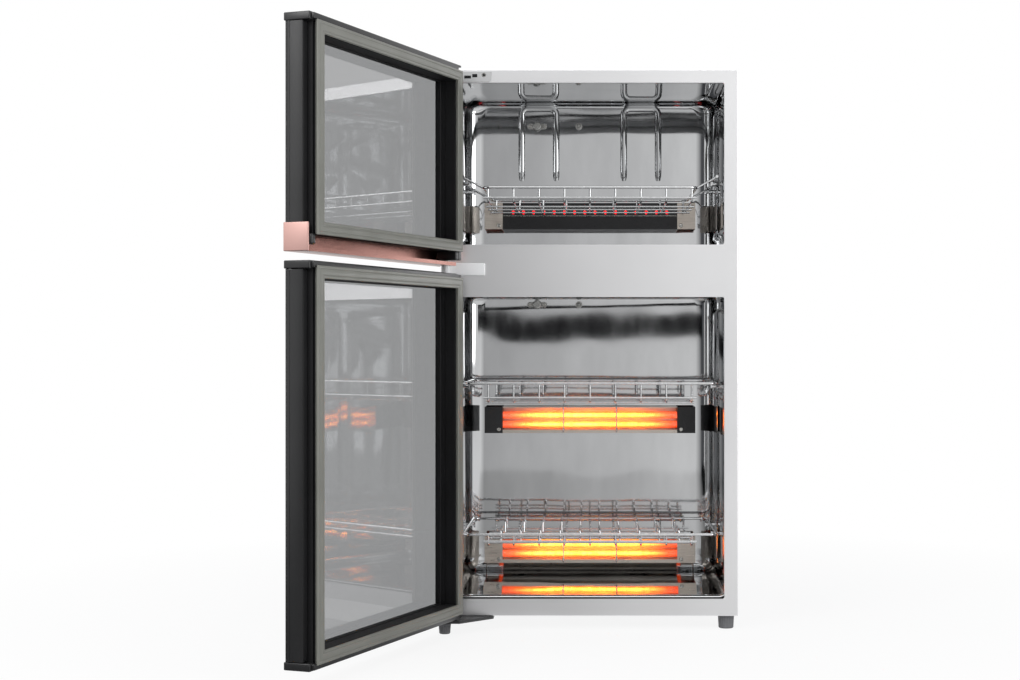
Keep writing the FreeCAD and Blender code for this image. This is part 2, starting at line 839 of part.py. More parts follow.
def heater_parts():
    units = (
        ("bottom_heater", bottom_heater_z, 2, trough, "reflector"),
        ("mid_heater", mid_heater_z, 2, trough, "reflector"),
        ("upper_heater", upper_heater_z, 1, heat_housing, "housing"),
    )
    screws = []
    filaments = []
    for name, base_z, count, body, body_name in units:
        rows = [base_z + heat_hole_rise] if count == 1 else heater_rows(base_z, count)
        save(name + "_" + body_name, body(base_z))
        x = trough_half + heater_screw_inset
        seats = {side: Vector(side * x, heater_front - heater_sheet, base_z + heater_screw_inset)
                 for side in (-1, 1)}
        save_group(name + "_brackets",
                   [heater_bracket(side, base_z, rows, seat) for side, seat in seats.items()])
        save_group(name + "_tubes", [quartz_tube(z) for z in rows])
        screws += [screw(seat, to_front) for seat in seats.values()]
        filaments += [filament(z) for z in rows]
    save_group("heater_screws", screws)
    save_group("heater_filaments", filaments)
    save_group("heater_guards", guards(bottom_heater_z) + guards(mid_heater_z))


# ---------------------------------------------------------------- racks
def ring(half, z):
    """Closed rectangular hoop of the heavier wire, lying flat."""
    middle = Vector(0, rack_front, z)
    path = [middle, Vector(half, rack_front, z), Vector(half, rack_back, z),
            Vector(-half, rack_back, z), Vector(-half, rack_front, z), middle]
    halves = []
    for points in (path[:3] + [Vector(0, rack_back, z)], [Vector(0, rack_back, z)] + path[3:]):
        halves.append(bent_wire(points, ring_wire_radius, rack_ring_bend))
    return halves


def basket(ring_z, floor_z):
    """U-shaped wires from the front hoop under the dishes to the back hoop, tied by cross wires."""
    lap = ring_wire_radius + rack_wire_radius - rack_weld
    front = rack_front + lap
    back = rack_back - lap
    wires = []
    for index in range(basket_wire_count):
        x = (index - (basket_wire_count - 1) / 2) * basket_wire_pitch
        points = [Vector(x, front, ring_z + wire_end_rise), Vector(x, front, floor_z),
                  Vector(x, back, floor_z), Vector(x, back, ring_z + wire_end_rise)]
        wires.append(bent_wire(points, rack_wire_radius, basket_bend))
    tie = 2 * rack_wire_radius - rack_weld
    end = basket_half_width
    wires.append(rod(rack_wire_radius, Vector(-end, front - tie, floor_z + basket_bend),
                     Vector(end, front - tie, floor_z + basket_bend)))
    for index in range(rack_cross_count):
        y = rack_front + rack_length * (index + 1) / (rack_cross_count + 1)
        wires.append(rod(rack_wire_radius, Vector(-end, y, floor_z - tie), Vector(end, y, floor_z - tie)))
    return wires


def hangers():
    """Side rails above the basket and the slanted links that carry it."""
    wires = []
    for side in (-1, 1):
        rail_x = side * rail_half_width
        wires.append(rod(ring_wire_radius, Vector(rail_x, rack_front, upper_rack_rail_z),
                         Vector(rail_x, rack_back, upper_rack_rail_z)))
        for y in (rack_front + hanger_inset, rack_back - hanger_inset):
            wires.append(rod(rack_wire_radius, Vector(side * basket_half_width, y, upper_rack_ring_z),
                             Vector(rail_x, y, upper_rack_rail_z)))
    return wires


def dividers(floor_z):
    """Upturned hoops that stand the plates on edge, in a front and a back row."""
    wires = []
    low = floor_z + 2 * rack_wire_radius - rack_weld
    for row in range(2):
        y0 = rack_front + divider_inset + row * (rack_length - 2 * divider_inset - divider_span)
        y1 = y0 + divider_span
        for y in (y0, y1):
            wires.append(rod(rack_wire_radius, Vector(-basket_half_width, y, low),
                             Vector(basket_half_width, y, low)))
        for index in range(divider_count):
            x = (index - (divider_count - 1) / 2) * divider_pitch
            top = floor_z + divider_rise
            wires.append(bent_wire([Vector(x, y0, low), Vector(x, y0 + divider_lean, top),
                                    Vector(x, y1 - divider_lean, top), Vector(x, y1, low)],
                                   divider_wire_radius, divider_bend))
    return wires


def pegs(rail_z):
    """Studs on the liner's pressed pads that the rack's rails lie on."""
    z = rail_z - ring_wire_radius - rack_lift_gap - peg_radius
    wall = liner_half - pad_height
    tip = rail_half_width - peg_rail_overlap
    studs = []
    for side in (-1, 1):
        for start in pad_starts:
            y = start + pad_width / 2
            shank = rod(peg_radius, Vector(side * wall, y, z), Vector(side * tip, y, z))
            head = rod(peg_head_radius, Vector(side * tip, y, z), Vector(side * (tip - peg_head), y, z))
            studs.append(shank.fuse(head))
    return studs


def rack_parts():
    save("upper_bowl_rack", fuse_all(ring(basket_half_width, upper_rack_ring_z)
                                     + basket(upper_rack_ring_z, upper_rack_floor_z) + hangers()))
    save("lower_bowl_rack", fuse_all(ring(rail_half_width, bowl_rack_ring_z)
                                     + basket(bowl_rack_ring_z, bowl_rack_floor_z)))
    save("plate_rack", fuse_all(ring(rail_half_width, plate_rack_ring_z)
                                + basket(plate_rack_ring_z, plate_rack_floor_z)
                                + dividers(plate_rack_floor_z)))
    save_group("upper_rack_pegs", pegs(upper_rack_rail_z))
    save_group("lower_rack_pegs", pegs(bowl_rack_ring_z) + pegs(plate_rack_ring_z))


# ---------------------------------------------------------------- hinges
def pin(z0, z1):
    return rod(pin_radius, Vector(pivot_x, pivot_y, z0), Vector(pivot_x, pivot_y, z1))


def pin_hole(z0, z1):
    return pin(z0 - reach_over, z1 + reach_over)


def arm(width, radius, z0, z1):
    half = width / 2
    reach = box(pivot_x - half, pivot_x + half, pivot_y, front_y, z0, z1)
    return reach.fuse(rod(radius, Vector(pivot_x, pivot_y, z0), Vector(pivot_x, pivot_y, z1)))


def top_hinge():
    flange = box(hinge_left, -half_width + top_flange_right, front_y - top_flange_sheet, front_y,
                 top_tongue_top - top_flange_height, top_tongue_top)
    right = -half_width + top_flange_right
    flange = fillet_where(flange, top_flange_radius,
                          lambda e: runs_along(e, to_back) and near(e.CenterOfMass.x, right)
                          and e.CenterOfMass.z < top_tongue_bottom)
    bracket = flange.fuse(arm(top_tongue_width, top_tongue_width / 2, top_tongue_bottom, top_tongue_top))
    bracket = bracket.cut(pin_hole(top_tongue_bottom, top_tongue_top))
    for seat in top_screw_seats:
        bracket = bracket.cut(sink_hole(seat, to_front))
    return bracket


def mid_hinge():
    flange = box(hinge_left, -half_width + mid_hinge_right, front_y - mid_flange_sheet, front_y,
                 mid_hinge_bottom, mid_hinge_top)
    flange = fillet_where(flange, mid_flange_radius, lambda e: runs_along(e, to_back))
    bracket = flange.fuse(arm(mid_arm_width, mid_boss_radius, mid_hinge_bottom, mid_hinge_top))
    bracket = bracket.cut(pin_hole(mid_hinge_bottom, mid_hinge_top))
    for seat in mid_screw_seats:
        bracket = bracket.cut(screw_hole(seat, to_front))
    return bracket


def bottom_hinge():
    left = -half_width + bottom_plate_left
    right = -half_width + bottom_plate_right
    rear = front_y + bottom_plate_back
    nose = pivot_y - bottom_plate_reach
    outline = [(left, rear), (right, rear), (right, front_y), (pivot_x + bottom_plate_nose, nose),
               (pivot_x - bottom_plate_corner, nose), (left, nose + hinge_side_inset), (left, rear)]
    points = [Vector(x, y, -bottom_plate) for x, y in outline]
    plate = Part.Face(Part.makePolygon(points)).extrude(up * bottom_plate)
    plate = plate.cut(pin_hole(-bottom_plate, 0))
    for seat in bottom_screw_seats:
        plate = plate.cut(screw_hole(seat, down))
    return plate


def hinge_parts():
    save("top_hinge_bracket", top_hinge())
    save("mid_hinge_bracket", mid_hinge())
    save("bottom_hinge_bracket", bottom_hinge())
    save("top_hinge_pin", pin(top_tongue_bottom - pin_reach, top_tongue_top))
    save("mid_hinge_pin", pin(mid_hinge_bottom - pin_reach, mid_hinge_top + pin_reach))
    save("bottom_hinge_pin", pin(-bottom_plate, lower_door_bottom + pin_reach - bush_end_gap))
    save_group("hinge_screws", [flat_screw(seat, to_front) for seat in top_screw_seats]
               + [screw(seat, to_front) for seat in mid_screw_seats]
               + [screw(seat, down) for seat in bottom_screw_seats])


# ---------------------------------------------------------------- doors
# A door is drawn closed: u runs from its hinge edge, v from its glass face towards the cabinet.
def door_box(u0, u1, v0, v1, z0, z1):
    return box(-half_width + u0, -half_width + u1, door_outer_y + v0, door_outer_y + v1, z0, z1)


def hang_open(shape):
    turned = shape.copy()
    turned.rotate(Vector(pivot_x, pivot_y, 0), up, -door_rest_angle)
    return turned


def door_ring(low, high, window_low, window_high, glass_low, glass_high):
    """Frame of the door before its caps, handle and hinges are let in."""
    wide = cabinet_width
    body = door_box(0, wide, door_lip_setback, door_profile_depth, low, high)
    body = fillet_where(body, door_edge_radius, lambda e: runs_along(e, up))
    flange = door_box(door_flange_inset, wide - door_flange_inset, door_profile_depth, flange_back,
                      low + door_flange_inset, high - door_flange_inset)
    window = door_box(window_inset, wide - window_inset, 0, flange_back + reach_over,
                      window_low, window_high)
    pocket = door_box(door_lip, wide - door_lip, 0, glass_thickness + glass_clearance, glass_low, glass_high)
    return body.fuse(flange).cut(window).cut(pocket)


def mitred_bars(frame, low, high, window_low, window_high):
    """Split the frame at its corners into four bars."""
    outer = [(0, low), (cabinet_width, low), (cabinet_width, high), (0, high)]
    inner = [(window_inset, window_low), (cabinet_width - window_inset, window_low),
             (cabinet_width - window_inset, window_high), (window_inset, window_high)]
    bars = []
    for index in range(4):
        after = (index + 1) % 4
        corners = [outer[index], outer[after], inner[after], inner[index], outer[index]]
        points = [Vector(-half_width + u, door_outer_y - door_depth, z) for u, z in corners]
        wedge = Part.Face(Part.makePolygon(points)).extrude(to_back * door_depth * 3)
        bars.append(frame.common(wedge).Solids[0])
    return bars


def door_glass(low, high):
    gap = glass_clearance
    inset = door_lip + gap
    return door_box(inset, cabinet_width - inset, 0, glass_thickness, low + gap, high - gap)


def door_cap(low, high):
    cap = door_box(0, cabinet_width, -cap_overhang, cap_depth, low, high)
    cap = fillet_where(cap, door_edge_radius, lambda e: runs_along(e, up))
    front = door_outer_y - cap_overhang
    return fillet_where(cap, cap_edge_radius,
                        lambda e: near(e.CenterOfMass.y, front) and runs_along(e, along_x))


def door_gasket(low, high):
    """Rubber seal: a rounded ring with a narrow groove round its foot."""
    face = flange_back + gasket_height
    seal = door_box(gasket_inset, cabinet_width - gasket_inset, flange_back, face, low, high)
    seal = fillet_where(seal, gasket_corner, lambda e: runs_along(e, to_back))
    front = door_outer_y + face
    seal = fillet_where(seal, gasket_round, lambda e: near(e.CenterOfMass.y, front))
    seal = seal.cut(door_box(window_inset, cabinet_width - window_inset, 0, door_depth * 2,
                             low + gasket_width, high - gasket_width))
    edge = gasket_inset + gasket_groove
    groove = door_box(0, cabinet_width, flange_back + gasket_groove, flange_back + 2 * gasket_groove,
                      low - reach_over, high + reach_over)
    groove = groove.cut(door_box(edge, cabinet_width - edge, flange_back, face,
                                 low + gasket_groove, high - gasket_groove))
    return seal.cut(groove)


def bush(z, out, flange):
    """Nylon bush: out points into the door; its flange fills the space down to the thrust face."""
    face = Vector(pivot_x, pivot_y, z)
    body = rod(bush_radius, face, face + out * bush_length)
    shoulder = rod(bush_flange_radius, face - out * flange, face)
    bore = rod(pin_radius + pin_running_gap, face - out * (flange + reach_over), face + out * pin_reach)
    return body.fuse(shoulder).cut(bore)


def bush_seat(z, out):
    face = Vector(pivot_x, pivot_y, z)
    return rod(bush_radius, face, face + out * bush_length)


def hinge_notch(z0, z1):
    return door_box(-reach_over, hinge_notch_width, hinge_notch_skin, door_depth, z0, z1)


def handle_profile(low, high):
    """Front wall, bottom lip and upturned inner edge of the pull, between its end plates."""
    u0 = handle_end
    u1 = cabinet_width - handle_end
    front = -cap_overhang
    wall = door_box(u0, u1, front, front + handle_wall, low, high)
    lip = door_box(u0, u1, front, cap_depth, low, low + handle_lip)
    edge = door_box(u0, u1, cap_depth - handle_wall, cap_depth, low, low + handle_upturn)
    return fuse_all([wall, lip, edge])


def handle_ends(low, high):
    ends = []
    for u0 in (0, cabinet_width - handle_end):
        end = door_box(u0, u0 + handle_end, -cap_overhang, cap_depth, low, high)
        ends.append(fillet_where(end, handle_corner, lambda e: runs_along(e, along_x)))
    return ends


def upper_door():
    cap_low = door_top - cap_height
    gasket_low = upper_rail_bottom + reach_over
    gasket_high = door_top - gasket_inset
    window_low = gasket_low + gasket_width
    window_high = gasket_high - gasket_width
    glass_low = upper_rail_bottom + door_lip
    frame = door_ring(upper_stile_bottom, door_top, window_low, window_high, glass_low, cap_low)
    notch = hinge_notch(handle_bottom - reach_over, upper_stile_bottom)
    slot = hinge_notch(top_tongue_bottom - tongue_gap, top_tongue_top + tongue_gap)
    pocket = door_box(door_lip, cabinet_width - door_lip, 0, glass_thickness + glass_clearance,
                      glass_low, handle_top + reach_over)
    ends = handle_ends(handle_bottom, handle_top)
    rail_gap = door_box(window_inset, cabinet_width - window_inset, 0, door_depth,
                        upper_stile_bottom - reach_over, upper_rail_bottom)
    side_gaps = [door_box(u0, u1, -cap_overhang, flange_back + reach_over,
                          upper_stile_bottom - reach_over, handle_top)
                 for u0, u1 in ((-reach_over, handle_end),
                                (cabinet_width - handle_end, cabinet_width + reach_over))]
    cap_zone = door_box(-reach_over, cabinet_width + reach_over, -cap_overhang, cap_depth,
                        cap_low, door_top + reach_over)
    seat_top = top_tongue_bottom - tongue_gap
    frame = frame.cut(rail_gap).cut(cap_zone).cut(bush_seat(seat_top, down))
    frame = frame.cut(bush_seat(upper_stile_bottom, up)).cut(slot)
    for gap in side_gaps:
        frame = frame.cut(gap)
    bars = mitred_bars(frame, upper_stile_bottom, door_top, window_low, window_high)
    save("upper_door_frame", hang_open(Part.makeCompound(bars)))
    save("upper_door_glass", hang_open(door_glass(glass_low, cap_low)))
    save("upper_door_gasket", hang_open(door_gasket(gasket_low, gasket_high)))
    save("upper_door_cap", hang_open(door_cap(cap_low, door_top).cut(slot).cut(bush_seat(seat_top, down))))
    save("upper_door_handle", hang_open(handle_profile(handle_bottom, handle_top).cut(notch)))
    ends = [end.cut(notch).cut(pocket) for end in ends]
    save("upper_door_handle_ends", hang_open(Part.makeCompound(ends)))
    bushes = [bush(seat_top, down, tongue_gap - thrust_gap),
              bush(upper_stile_bottom, up, upper_stile_bottom - mid_hinge_top - thrust_gap)]
    save("upper_door_bushes", hang_open(Part.makeCompound(bushes)))


def lower_door():
    low = lower_door_bottom
    high = lower_door_top
    window_low = low + window_inset
    window_high = high - window_inset
    cap_low = high - cap_height
    shoe_high = low + cap_height
    notch_floor = mid_hinge_bottom - mid_notch_gap
    notch = hinge_notch(notch_floor, high + reach_over)
    seats = [bush_seat(notch_floor, down), bush_seat(low, up)]
    frame = door_ring(low, high, window_low, window_high, shoe_high, cap_low)
    for z0, z1 in ((low - reach_over, shoe_high), (cap_low, high + reach_over)):
        frame = frame.cut(door_box(-reach_over, cabinet_width + reach_over, -cap_overhang, cap_depth,
                                   z0, z1))
    top_cap = door_cap(cap_low, high).cut(notch)
    bottom_cap = door_cap(low, shoe_high)
    for seat in seats:
        frame = frame.cut(seat)
        top_cap = top_cap.cut(seat)
        bottom_cap = bottom_cap.cut(seat)
    bars = mitred_bars(frame.cut(notch), low, high, window_low, window_high)
    save("lower_door_frame", hang_open(Part.makeCompound(bars)))
    save("lower_door_glass", hang_open(door_glass(shoe_high, cap_low)))
    save("lower_door_gasket", hang_open(door_gasket(low + gasket_inset, high - gasket_inset)))
    save("lower_door_top_cap", hang_open(top_cap))
    save("lower_door_bottom_cap", hang_open(bottom_cap))
    bushes = [bush(notch_floor, down, mid_notch_gap - thrust_gap), bush(low, up, low - thrust_gap)]
    save("lower_door_bushes", hang_open(Part.makeCompound(bushes)))


case_parts()
liner_parts()
save("lower_insulation", lower_insulation())
save("mid_shelf", mid_shelf())
save("control_board", control_board())
save("transformer", transformer())
heater_parts()
rack_parts()
hinge_parts()
upper_door()
lower_door()
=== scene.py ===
# %% [markdown]
# # A two-chamber dish sterilizer cabinet
# The cabinet is folded sheet metal with two mirror-polished steel chambers, wire racks, quartz
# tube heaters and two glass doors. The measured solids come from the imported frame. This file adds
# the finishes, the soft shapes of pressed sheet, bent wire and rubber, and a plain studio round
# them.

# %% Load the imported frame
import json
import math

import bmesh
import bpy
from mathutils import Matrix, Vector


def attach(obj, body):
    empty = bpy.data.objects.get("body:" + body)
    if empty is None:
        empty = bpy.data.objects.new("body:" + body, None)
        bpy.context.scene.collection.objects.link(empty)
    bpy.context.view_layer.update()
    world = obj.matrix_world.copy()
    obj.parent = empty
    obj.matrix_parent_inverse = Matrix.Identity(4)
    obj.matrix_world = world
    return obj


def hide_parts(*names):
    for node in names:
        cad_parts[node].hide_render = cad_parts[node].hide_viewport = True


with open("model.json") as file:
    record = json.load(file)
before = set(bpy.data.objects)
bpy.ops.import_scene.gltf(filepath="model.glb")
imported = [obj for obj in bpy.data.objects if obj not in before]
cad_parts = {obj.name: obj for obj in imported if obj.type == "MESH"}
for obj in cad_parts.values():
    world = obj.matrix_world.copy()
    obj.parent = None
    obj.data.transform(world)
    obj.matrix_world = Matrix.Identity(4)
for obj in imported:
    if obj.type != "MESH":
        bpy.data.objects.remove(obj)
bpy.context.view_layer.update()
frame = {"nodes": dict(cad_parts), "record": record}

# %% [markdown]
# Sizes are easiest to read in millimetres, as on a drawing, while Blender works in metres. One
# constant turns one into the other wherever a real size is written.

# %% Millimetres
MM = 0.001
FRONT = -165 * MM
print("front plane of the cabinet:", FRONT)

# %% [markdown]
# A camera stands straight in front of the cabinet at the height of its middle, far enough away
# for the sides of the chambers to close in gently. Turning it towards the open doors would make
# upright edges lean together, so a shift of the lens brings the doors into view.

# %% Camera
CAMERA_AWAY = 2.45
EYE_HEIGHT = 0.3933
LENS_MM = 59.58
LENS_SHIFT = (-0.0784, 0.0049)

camera_data = bpy.data.cameras.new("studio_camera")
camera_data.lens = LENS_MM
camera_data.shift_x, camera_data.shift_y = LENS_SHIFT
camera = bpy.data.objects.new("studio_camera", camera_data)
camera.location = (0, FRONT - CAMERA_AWAY, EYE_HEIGHT)
camera.rotation_euler = (math.pi / 2, 0, 0)
bpy.context.scene.collection.objects.link(camera)
bpy.context.scene.camera = camera
bpy.context.scene.view_settings.view_transform = "Standard"
print("lens", camera_data.lens, "mm at", tuple(camera.location))

# %% [markdown]
# Materials are node trees. A colour is written as the hex value that a paint chart would give,
# and one function turns it to the linear light that shaders work in. A second function adds any
# node with its settings and its links, so that a tree reads from top to bottom like a recipe.

# %% Colour and node helpers
def linear(hex_colour):
    """sRGB hex value to linear RGBA."""
    channels = [int(hex_colour[i:i + 2], 16) / 255 for i in (1, 3, 5)]
    return [c / 12.92 if c <= 0.04045 else ((c + 0.055) / 1.055) ** 2.4 for c in channels] + [1]


def node(tree, kind, settings=None, **links):
    """Adds a node with its settings (properties or inputs) and its links from (node, output)."""
    made = tree.nodes.new(kind)
    for name, value in (settings or {}).items():
        if name == "ramp":
            for element, (place, colour) in zip(made.color_ramp.elements, value):
                element.position = place
                element.color = linear(colour)
        elif isinstance(name, int) or name in made.inputs:
            made.inputs[name].default_value = value
        else:
            setattr(made, name, value)
    for name, (source, output) in links.items():
        key = int(name[1:]) if name[0] == "_" else name.replace("_", " ")
        tree.links.new(source.outputs[output], made.inputs[key])
    return made


def new_material(name):
    """A material, its tree, and the coordinates that its patterns are placed by."""
    made = bpy.data.materials.new(name)
    made.use_nodes = True
    made.node_tree.nodes.clear()
    return made, made.node_tree, node(made.node_tree, "ShaderNodeTexCoord")


print("white in linear light:", linear("#ffffff"))

# %% [markdown]
# ## Studio
# The studio is a white room. Lit fully, it would wash out the light grey cabinet, so the room
# lights the object at about half strength. The full white of the background comes only from what
# the camera, a reflection or a glass pane sees of the world, and never from more light. Light
# Path tells those rays from the ones that light.

# %% World
ROOM_LIGHT = 0.55


def seen_rays(tree):
    """One for rays from the camera, a reflection or a glass pane, and zero for rays that light."""
    ray = node(tree, "ShaderNodeLightPath")
    seen = node(tree, "ShaderNodeMath", {"operation": "MAXIMUM"},
                _0=(ray, "Is Camera Ray"), _1=(ray, "Is Glossy Ray"))
    return node(tree, "ShaderNodeMath", {"operation": "MAXIMUM"},
                _0=(seen, 0), _1=(ray, "Is Transmission Ray"))


world = bpy.data.worlds.new("white_room")
world.use_nodes = True
bpy.context.scene.world = world
tree = world.node_tree
tree.nodes.clear()
seen = seen_rays(tree)
lit = node(tree, "ShaderNodeBackground", {"Color": linear("#e9edf2"), "Strength": ROOM_LIGHT})
white = node(tree, "ShaderNodeBackground", {"Color": linear("#ffffff"), "Strength": 1.0})
mixed = node(tree, "ShaderNodeMixShader", _0=(seen, 0), _1=(lit, 0), _2=(white, 0))
node(tree, "ShaderNodeOutputWorld", Surface=(mixed, 0))
print("world nodes:", len(tree.nodes))

# %% [markdown]
# Three soft boxes light the cabinet: a big one from the front left, a weaker one from the front
# right and one overhead. Small lamps would leave hard shadows and hot spots on the satin steel.
# Areas over a metre wide give the soft edges of product light.

# %% Lights
def softbox(name, place, aim, size, power):
    """An area light of this size (m) and power (W) at place, turned to look at aim."""
    lamp = bpy.data.lights.new(name, "AREA")
    lamp.shape = "RECTANGLE"
    lamp.size, lamp.size_y = size
    lamp.energy = power
    made = bpy.data.objects.new(name, lamp)
    made.location = place
    made.rotation_euler = (Vector(aim) - Vector(place)).to_track_quat("-Z", "Y").to_euler()
    bpy.context.scene.collection.objects.link(made)


softbox("key_left", (-1.6, -2.2, 1.9), (0, -0.1, 0.4), (1.4, 1.4), 34)
softbox("fill_right", (1.9, -1.9, 1.1), (-0.2, -0.2, 0.4), (1.2, 1.6), 25)
softbox("top_soft", (0, -0.3, 2.6), (0, 0, 0.4), (1.8, 1.2), 15)

# %% [markdown]
# The floor is a sweep of matt white paper under the feet. A plain white plane would end in a grey
# horizon. Here the paper takes shadows near the cabinet, and from 0.35 m to 1.2 m away it blends
# into the white of the room.

# %% Floor
FLOOR_Z = -20 * MM
SWEEP_START = 0.35
SWEEP_END = 1.2


def to_object(bm, name):
    """Turns a finished bmesh into an object in the scene."""
    mesh = bpy.data.meshes.new(name)
    bm.to_mesh(mesh)
    bm.free()
    made = bpy.data.objects.new(name, mesh)
    bpy.context.scene.collection.objects.link(made)
    return made


bm = bmesh.new()
bmesh.ops.create_grid(bm, x_segments=2, y_segments=2, size=12)
bmesh.ops.translate(bm, verts=bm.verts, vec=(0, 0, FLOOR_Z))
floor = to_object(bm, "studio_floor")
print("floor at", FLOOR_Z)

# %% [markdown]
# The paper scatters all light evenly and has no gloss. Towards the edge of the sweep a growing
# share of plain white takes over, for seeing rays only, so the paper never lights the cabinet
# more than real paper would.

# %% Matt white paper
white_paper, tree, place = new_material("matt_white_paper_sweep")
seen = seen_rays(tree)
away = node(tree, "ShaderNodeVectorMath", {"operation": "LENGTH"}, _0=(place, "Object"))
white_share = node(tree, "ShaderNodeMapRange",
                   {"From Min": SWEEP_START, "From Max": SWEEP_END, "To Min": 0.88, "To Max": 1.0},
                   Value=(away, "Value"))
share = node(tree, "ShaderNodeMath", {"operation": "MULTIPLY"}, _0=(seen, 0), _1=(white_share, 0))
paper = node(tree, "ShaderNodeBsdfDiffuse", {"Color": linear("#e4e4e4")})
glow = node(tree, "ShaderNodeEmission", {"Color": linear("#ffffff"), "Strength": 1.0})
mixed = node(tree, "ShaderNodeMixShader", _0=(share, 0), _1=(paper, 0), _2=(glow, 0))
node(tree, "ShaderNodeOutputMaterial", Surface=(mixed, 0))
floor.data.materials.append(white_paper)
print(white_paper.name, len(tree.nodes), "nodes")

# %% [markdown]
# Polished steel shows whatever stands round it, and in an empty white room it would look like
# white paper. So in a studio it gets cards to reflect. Four stand here: a wide one behind the
# camera, grey on the left and white on the right, one above it, a low dark strip, and one flat on
# the floor. Only reflections see them, so they give the steel its dark bands and cast no shadow.

# %% Grey cards that only reflections see
def reflection_card(name, centre, aim, size, shades, span=(-1, 1)):
    """A card for metal to reflect; its grey runs between two shades over span, in metres."""
    bm = bmesh.new()
    bmesh.ops.create_grid(bm, x_segments=1, y_segments=1, size=0.5)
    bmesh.ops.scale(bm, verts=bm.verts, vec=(size[0], size[1], 1))
    turn = (Vector(aim) - Vector(centre)).to_track_quat("Z", "Y").to_matrix().to_4x4()
    bmesh.ops.transform(bm, verts=bm.verts, matrix=Matrix.Translation(centre) @ turn)
    made = to_object(bm, name)
    material, tree, place = new_material(name + "_felt")
    apart = node(tree, "ShaderNodeSeparateXYZ", Vector=(place, "Object"))
    along = node(tree, "ShaderNodeMapRange", {"From Min": span[0], "From Max": span[1]},
                 Value=(apart, "X"))
    grey = node(tree, "ShaderNodeValToRGB",
                {"ramp": [(0, shades[0]), (1, shades[1])]}, Fac=(along, 0))
    light = node(tree, "ShaderNodeEmission", {"Strength": 1.0}, Color=(grey, 0))
    node(tree, "ShaderNodeOutputMaterial", Surface=(light, 0))
    made.data.materials.append(material)
    made.visible_camera = False
    made.visible_diffuse = False
    made.visible_transmission = False
    made.visible_shadow = False
    print(name, size)


reflection_card("card_wide_front", centre=(-0.35, -2.7, 0.75), aim=(-0.35, 0, 0.75),
                size=(2.5, 2.3), shades=("#5a5b5e", "#ffffff"), span=(-0.8, 0.3))
reflection_card("card_high_front", centre=(0.3, -2.6, 2.15), aim=(0, 0, 0.6), size=(2.6, 0.7),
                shades=("#3c3d40", "#6a6c6e"))
reflection_card("card_low_front", centre=(0, -2.65, 0.46), aim=(0, 0, 0.46), size=(1.9, 0.07),
                shades=("#0e0f10", "#1e1f21"))
reflection_card("card_floor", centre=(-0.5, -1.45, -0.018), aim=(-0.5, -1.45, 1), size=(1.9, 2.46),
                shades=("#101112", "#f4f4f4"), span=(-0.75, 0.4))

# %% [markdown]
# ## Finishes
# Every finish starts from what the surface is made of and how it was made. Patterns are placed by
# Object coordinates, which are metres here, so a texture scale is one over the real size of the
# pattern in metres.

# %% Real sizes to texture scales
def cells(size_mm):
    """Texture scale that gives features of about this size."""
    return 1 / (size_mm * MM)


finishes = {}
print("one millimetre of grain is a scale of", cells(1))

# %% [markdown]
# A surface has three things that a pattern can sway: its colour between two tones, its roughness
# between smooth and dull, and a relief with a real height. Every material could spell them out,
# but they would all say the same, so one function ties them to the shader. Most values of a noise
# lie between 0.3 and 0.7, so those two are where a change starts and stops unless a finish says
# otherwise.

# %% From patterns to a surface
NOISE_LOW = 0.3
NOISE_HIGH = 0.7


def surface(tree, settings, tone=None, rough=None, relief=None, **links):
    """tone: pattern, two colours; rough: pattern, two values; relief: pattern, mm, strength."""
    if tone:
        pattern, dark, light, low, high = (*tone, NOISE_LOW, NOISE_HIGH)[:5]
        ramp = node(tree, "ShaderNodeValToRGB", {"ramp": [(low, dark), (high, light)]}, Fac=pattern)
        links["Base_Color"] = (ramp, 0)
    if rough:
        pattern, smooth, dull, low, high = (*rough, NOISE_LOW, NOISE_HIGH)[:5]
        polish = node(tree, "ShaderNodeMapRange", {"From Min": low, "From Max": high,
                                                   "To Min": smooth, "To Max": dull}, Value=pattern)
        links["Roughness"] = (polish, 0)
    if relief:
        pattern, height_mm, strength = relief
        bump = node(tree, "ShaderNodeBump", {"Strength": strength, "Distance": height_mm * MM},
                    Height=pattern)
        links["Normal"] = (bump, 0)
    shader = node(tree, "ShaderNodeBsdfPrincipled", settings, **links)
    node(tree, "ShaderNodeOutputMaterial", Surface=(shader, 0))


print("patterns count from", NOISE_LOW, "to", NOISE_HIGH)

# %% [markdown]
# The front frame is stainless sheet with a satin polish from an abrasive belt. Its polishing
# lines run level and are finer than a pixel, so they are drawn about a millimetre apart and only
# sway the roughness. An image could hold them, but a noise stretched along the sheet never
# repeats. Metal has only its reflection tint for a colour, and it keeps the default IOR.

# %% Satin stainless steel, belt-polished
finishes["front_steel"], tree, place = new_material("stainless_steel_satin_belt_polished")
level = node(tree, "ShaderNodeMapping", {"Scale": (1 / 220, 1 / 220, 1)}, Vector=(place, "Object"))
lines = node(tree, "ShaderNodeTexNoise", {"Scale": cells(0.7)}, Vector=(level, 0))
cloud = node(tree, "ShaderNodeTexNoise", {"Scale": cells(140)}, Vector=(place, "Object"))
surface(tree, {"Metallic": 1.0, "Anisotropic": 0.4}, tone=((cloud, 0), "#e0e0e1", "#e7e7e8"),
        rough=((lines, 0), 0.30, 0.36), relief=((lines, 0), 0.006, 0.3))
print(finishes["front_steel"].name)

# %% [markdown]
# The chambers are bright-annealed stainless sheet: nearly a mirror, but never flat. Pressing
# leaves it gently wavy over some centimetres, which bends the reflections, and wiping leaves
# faint hazy marks. The waves could be in the mesh, but a low bump bends reflections as well and
# leaves the sheet's edges straight.

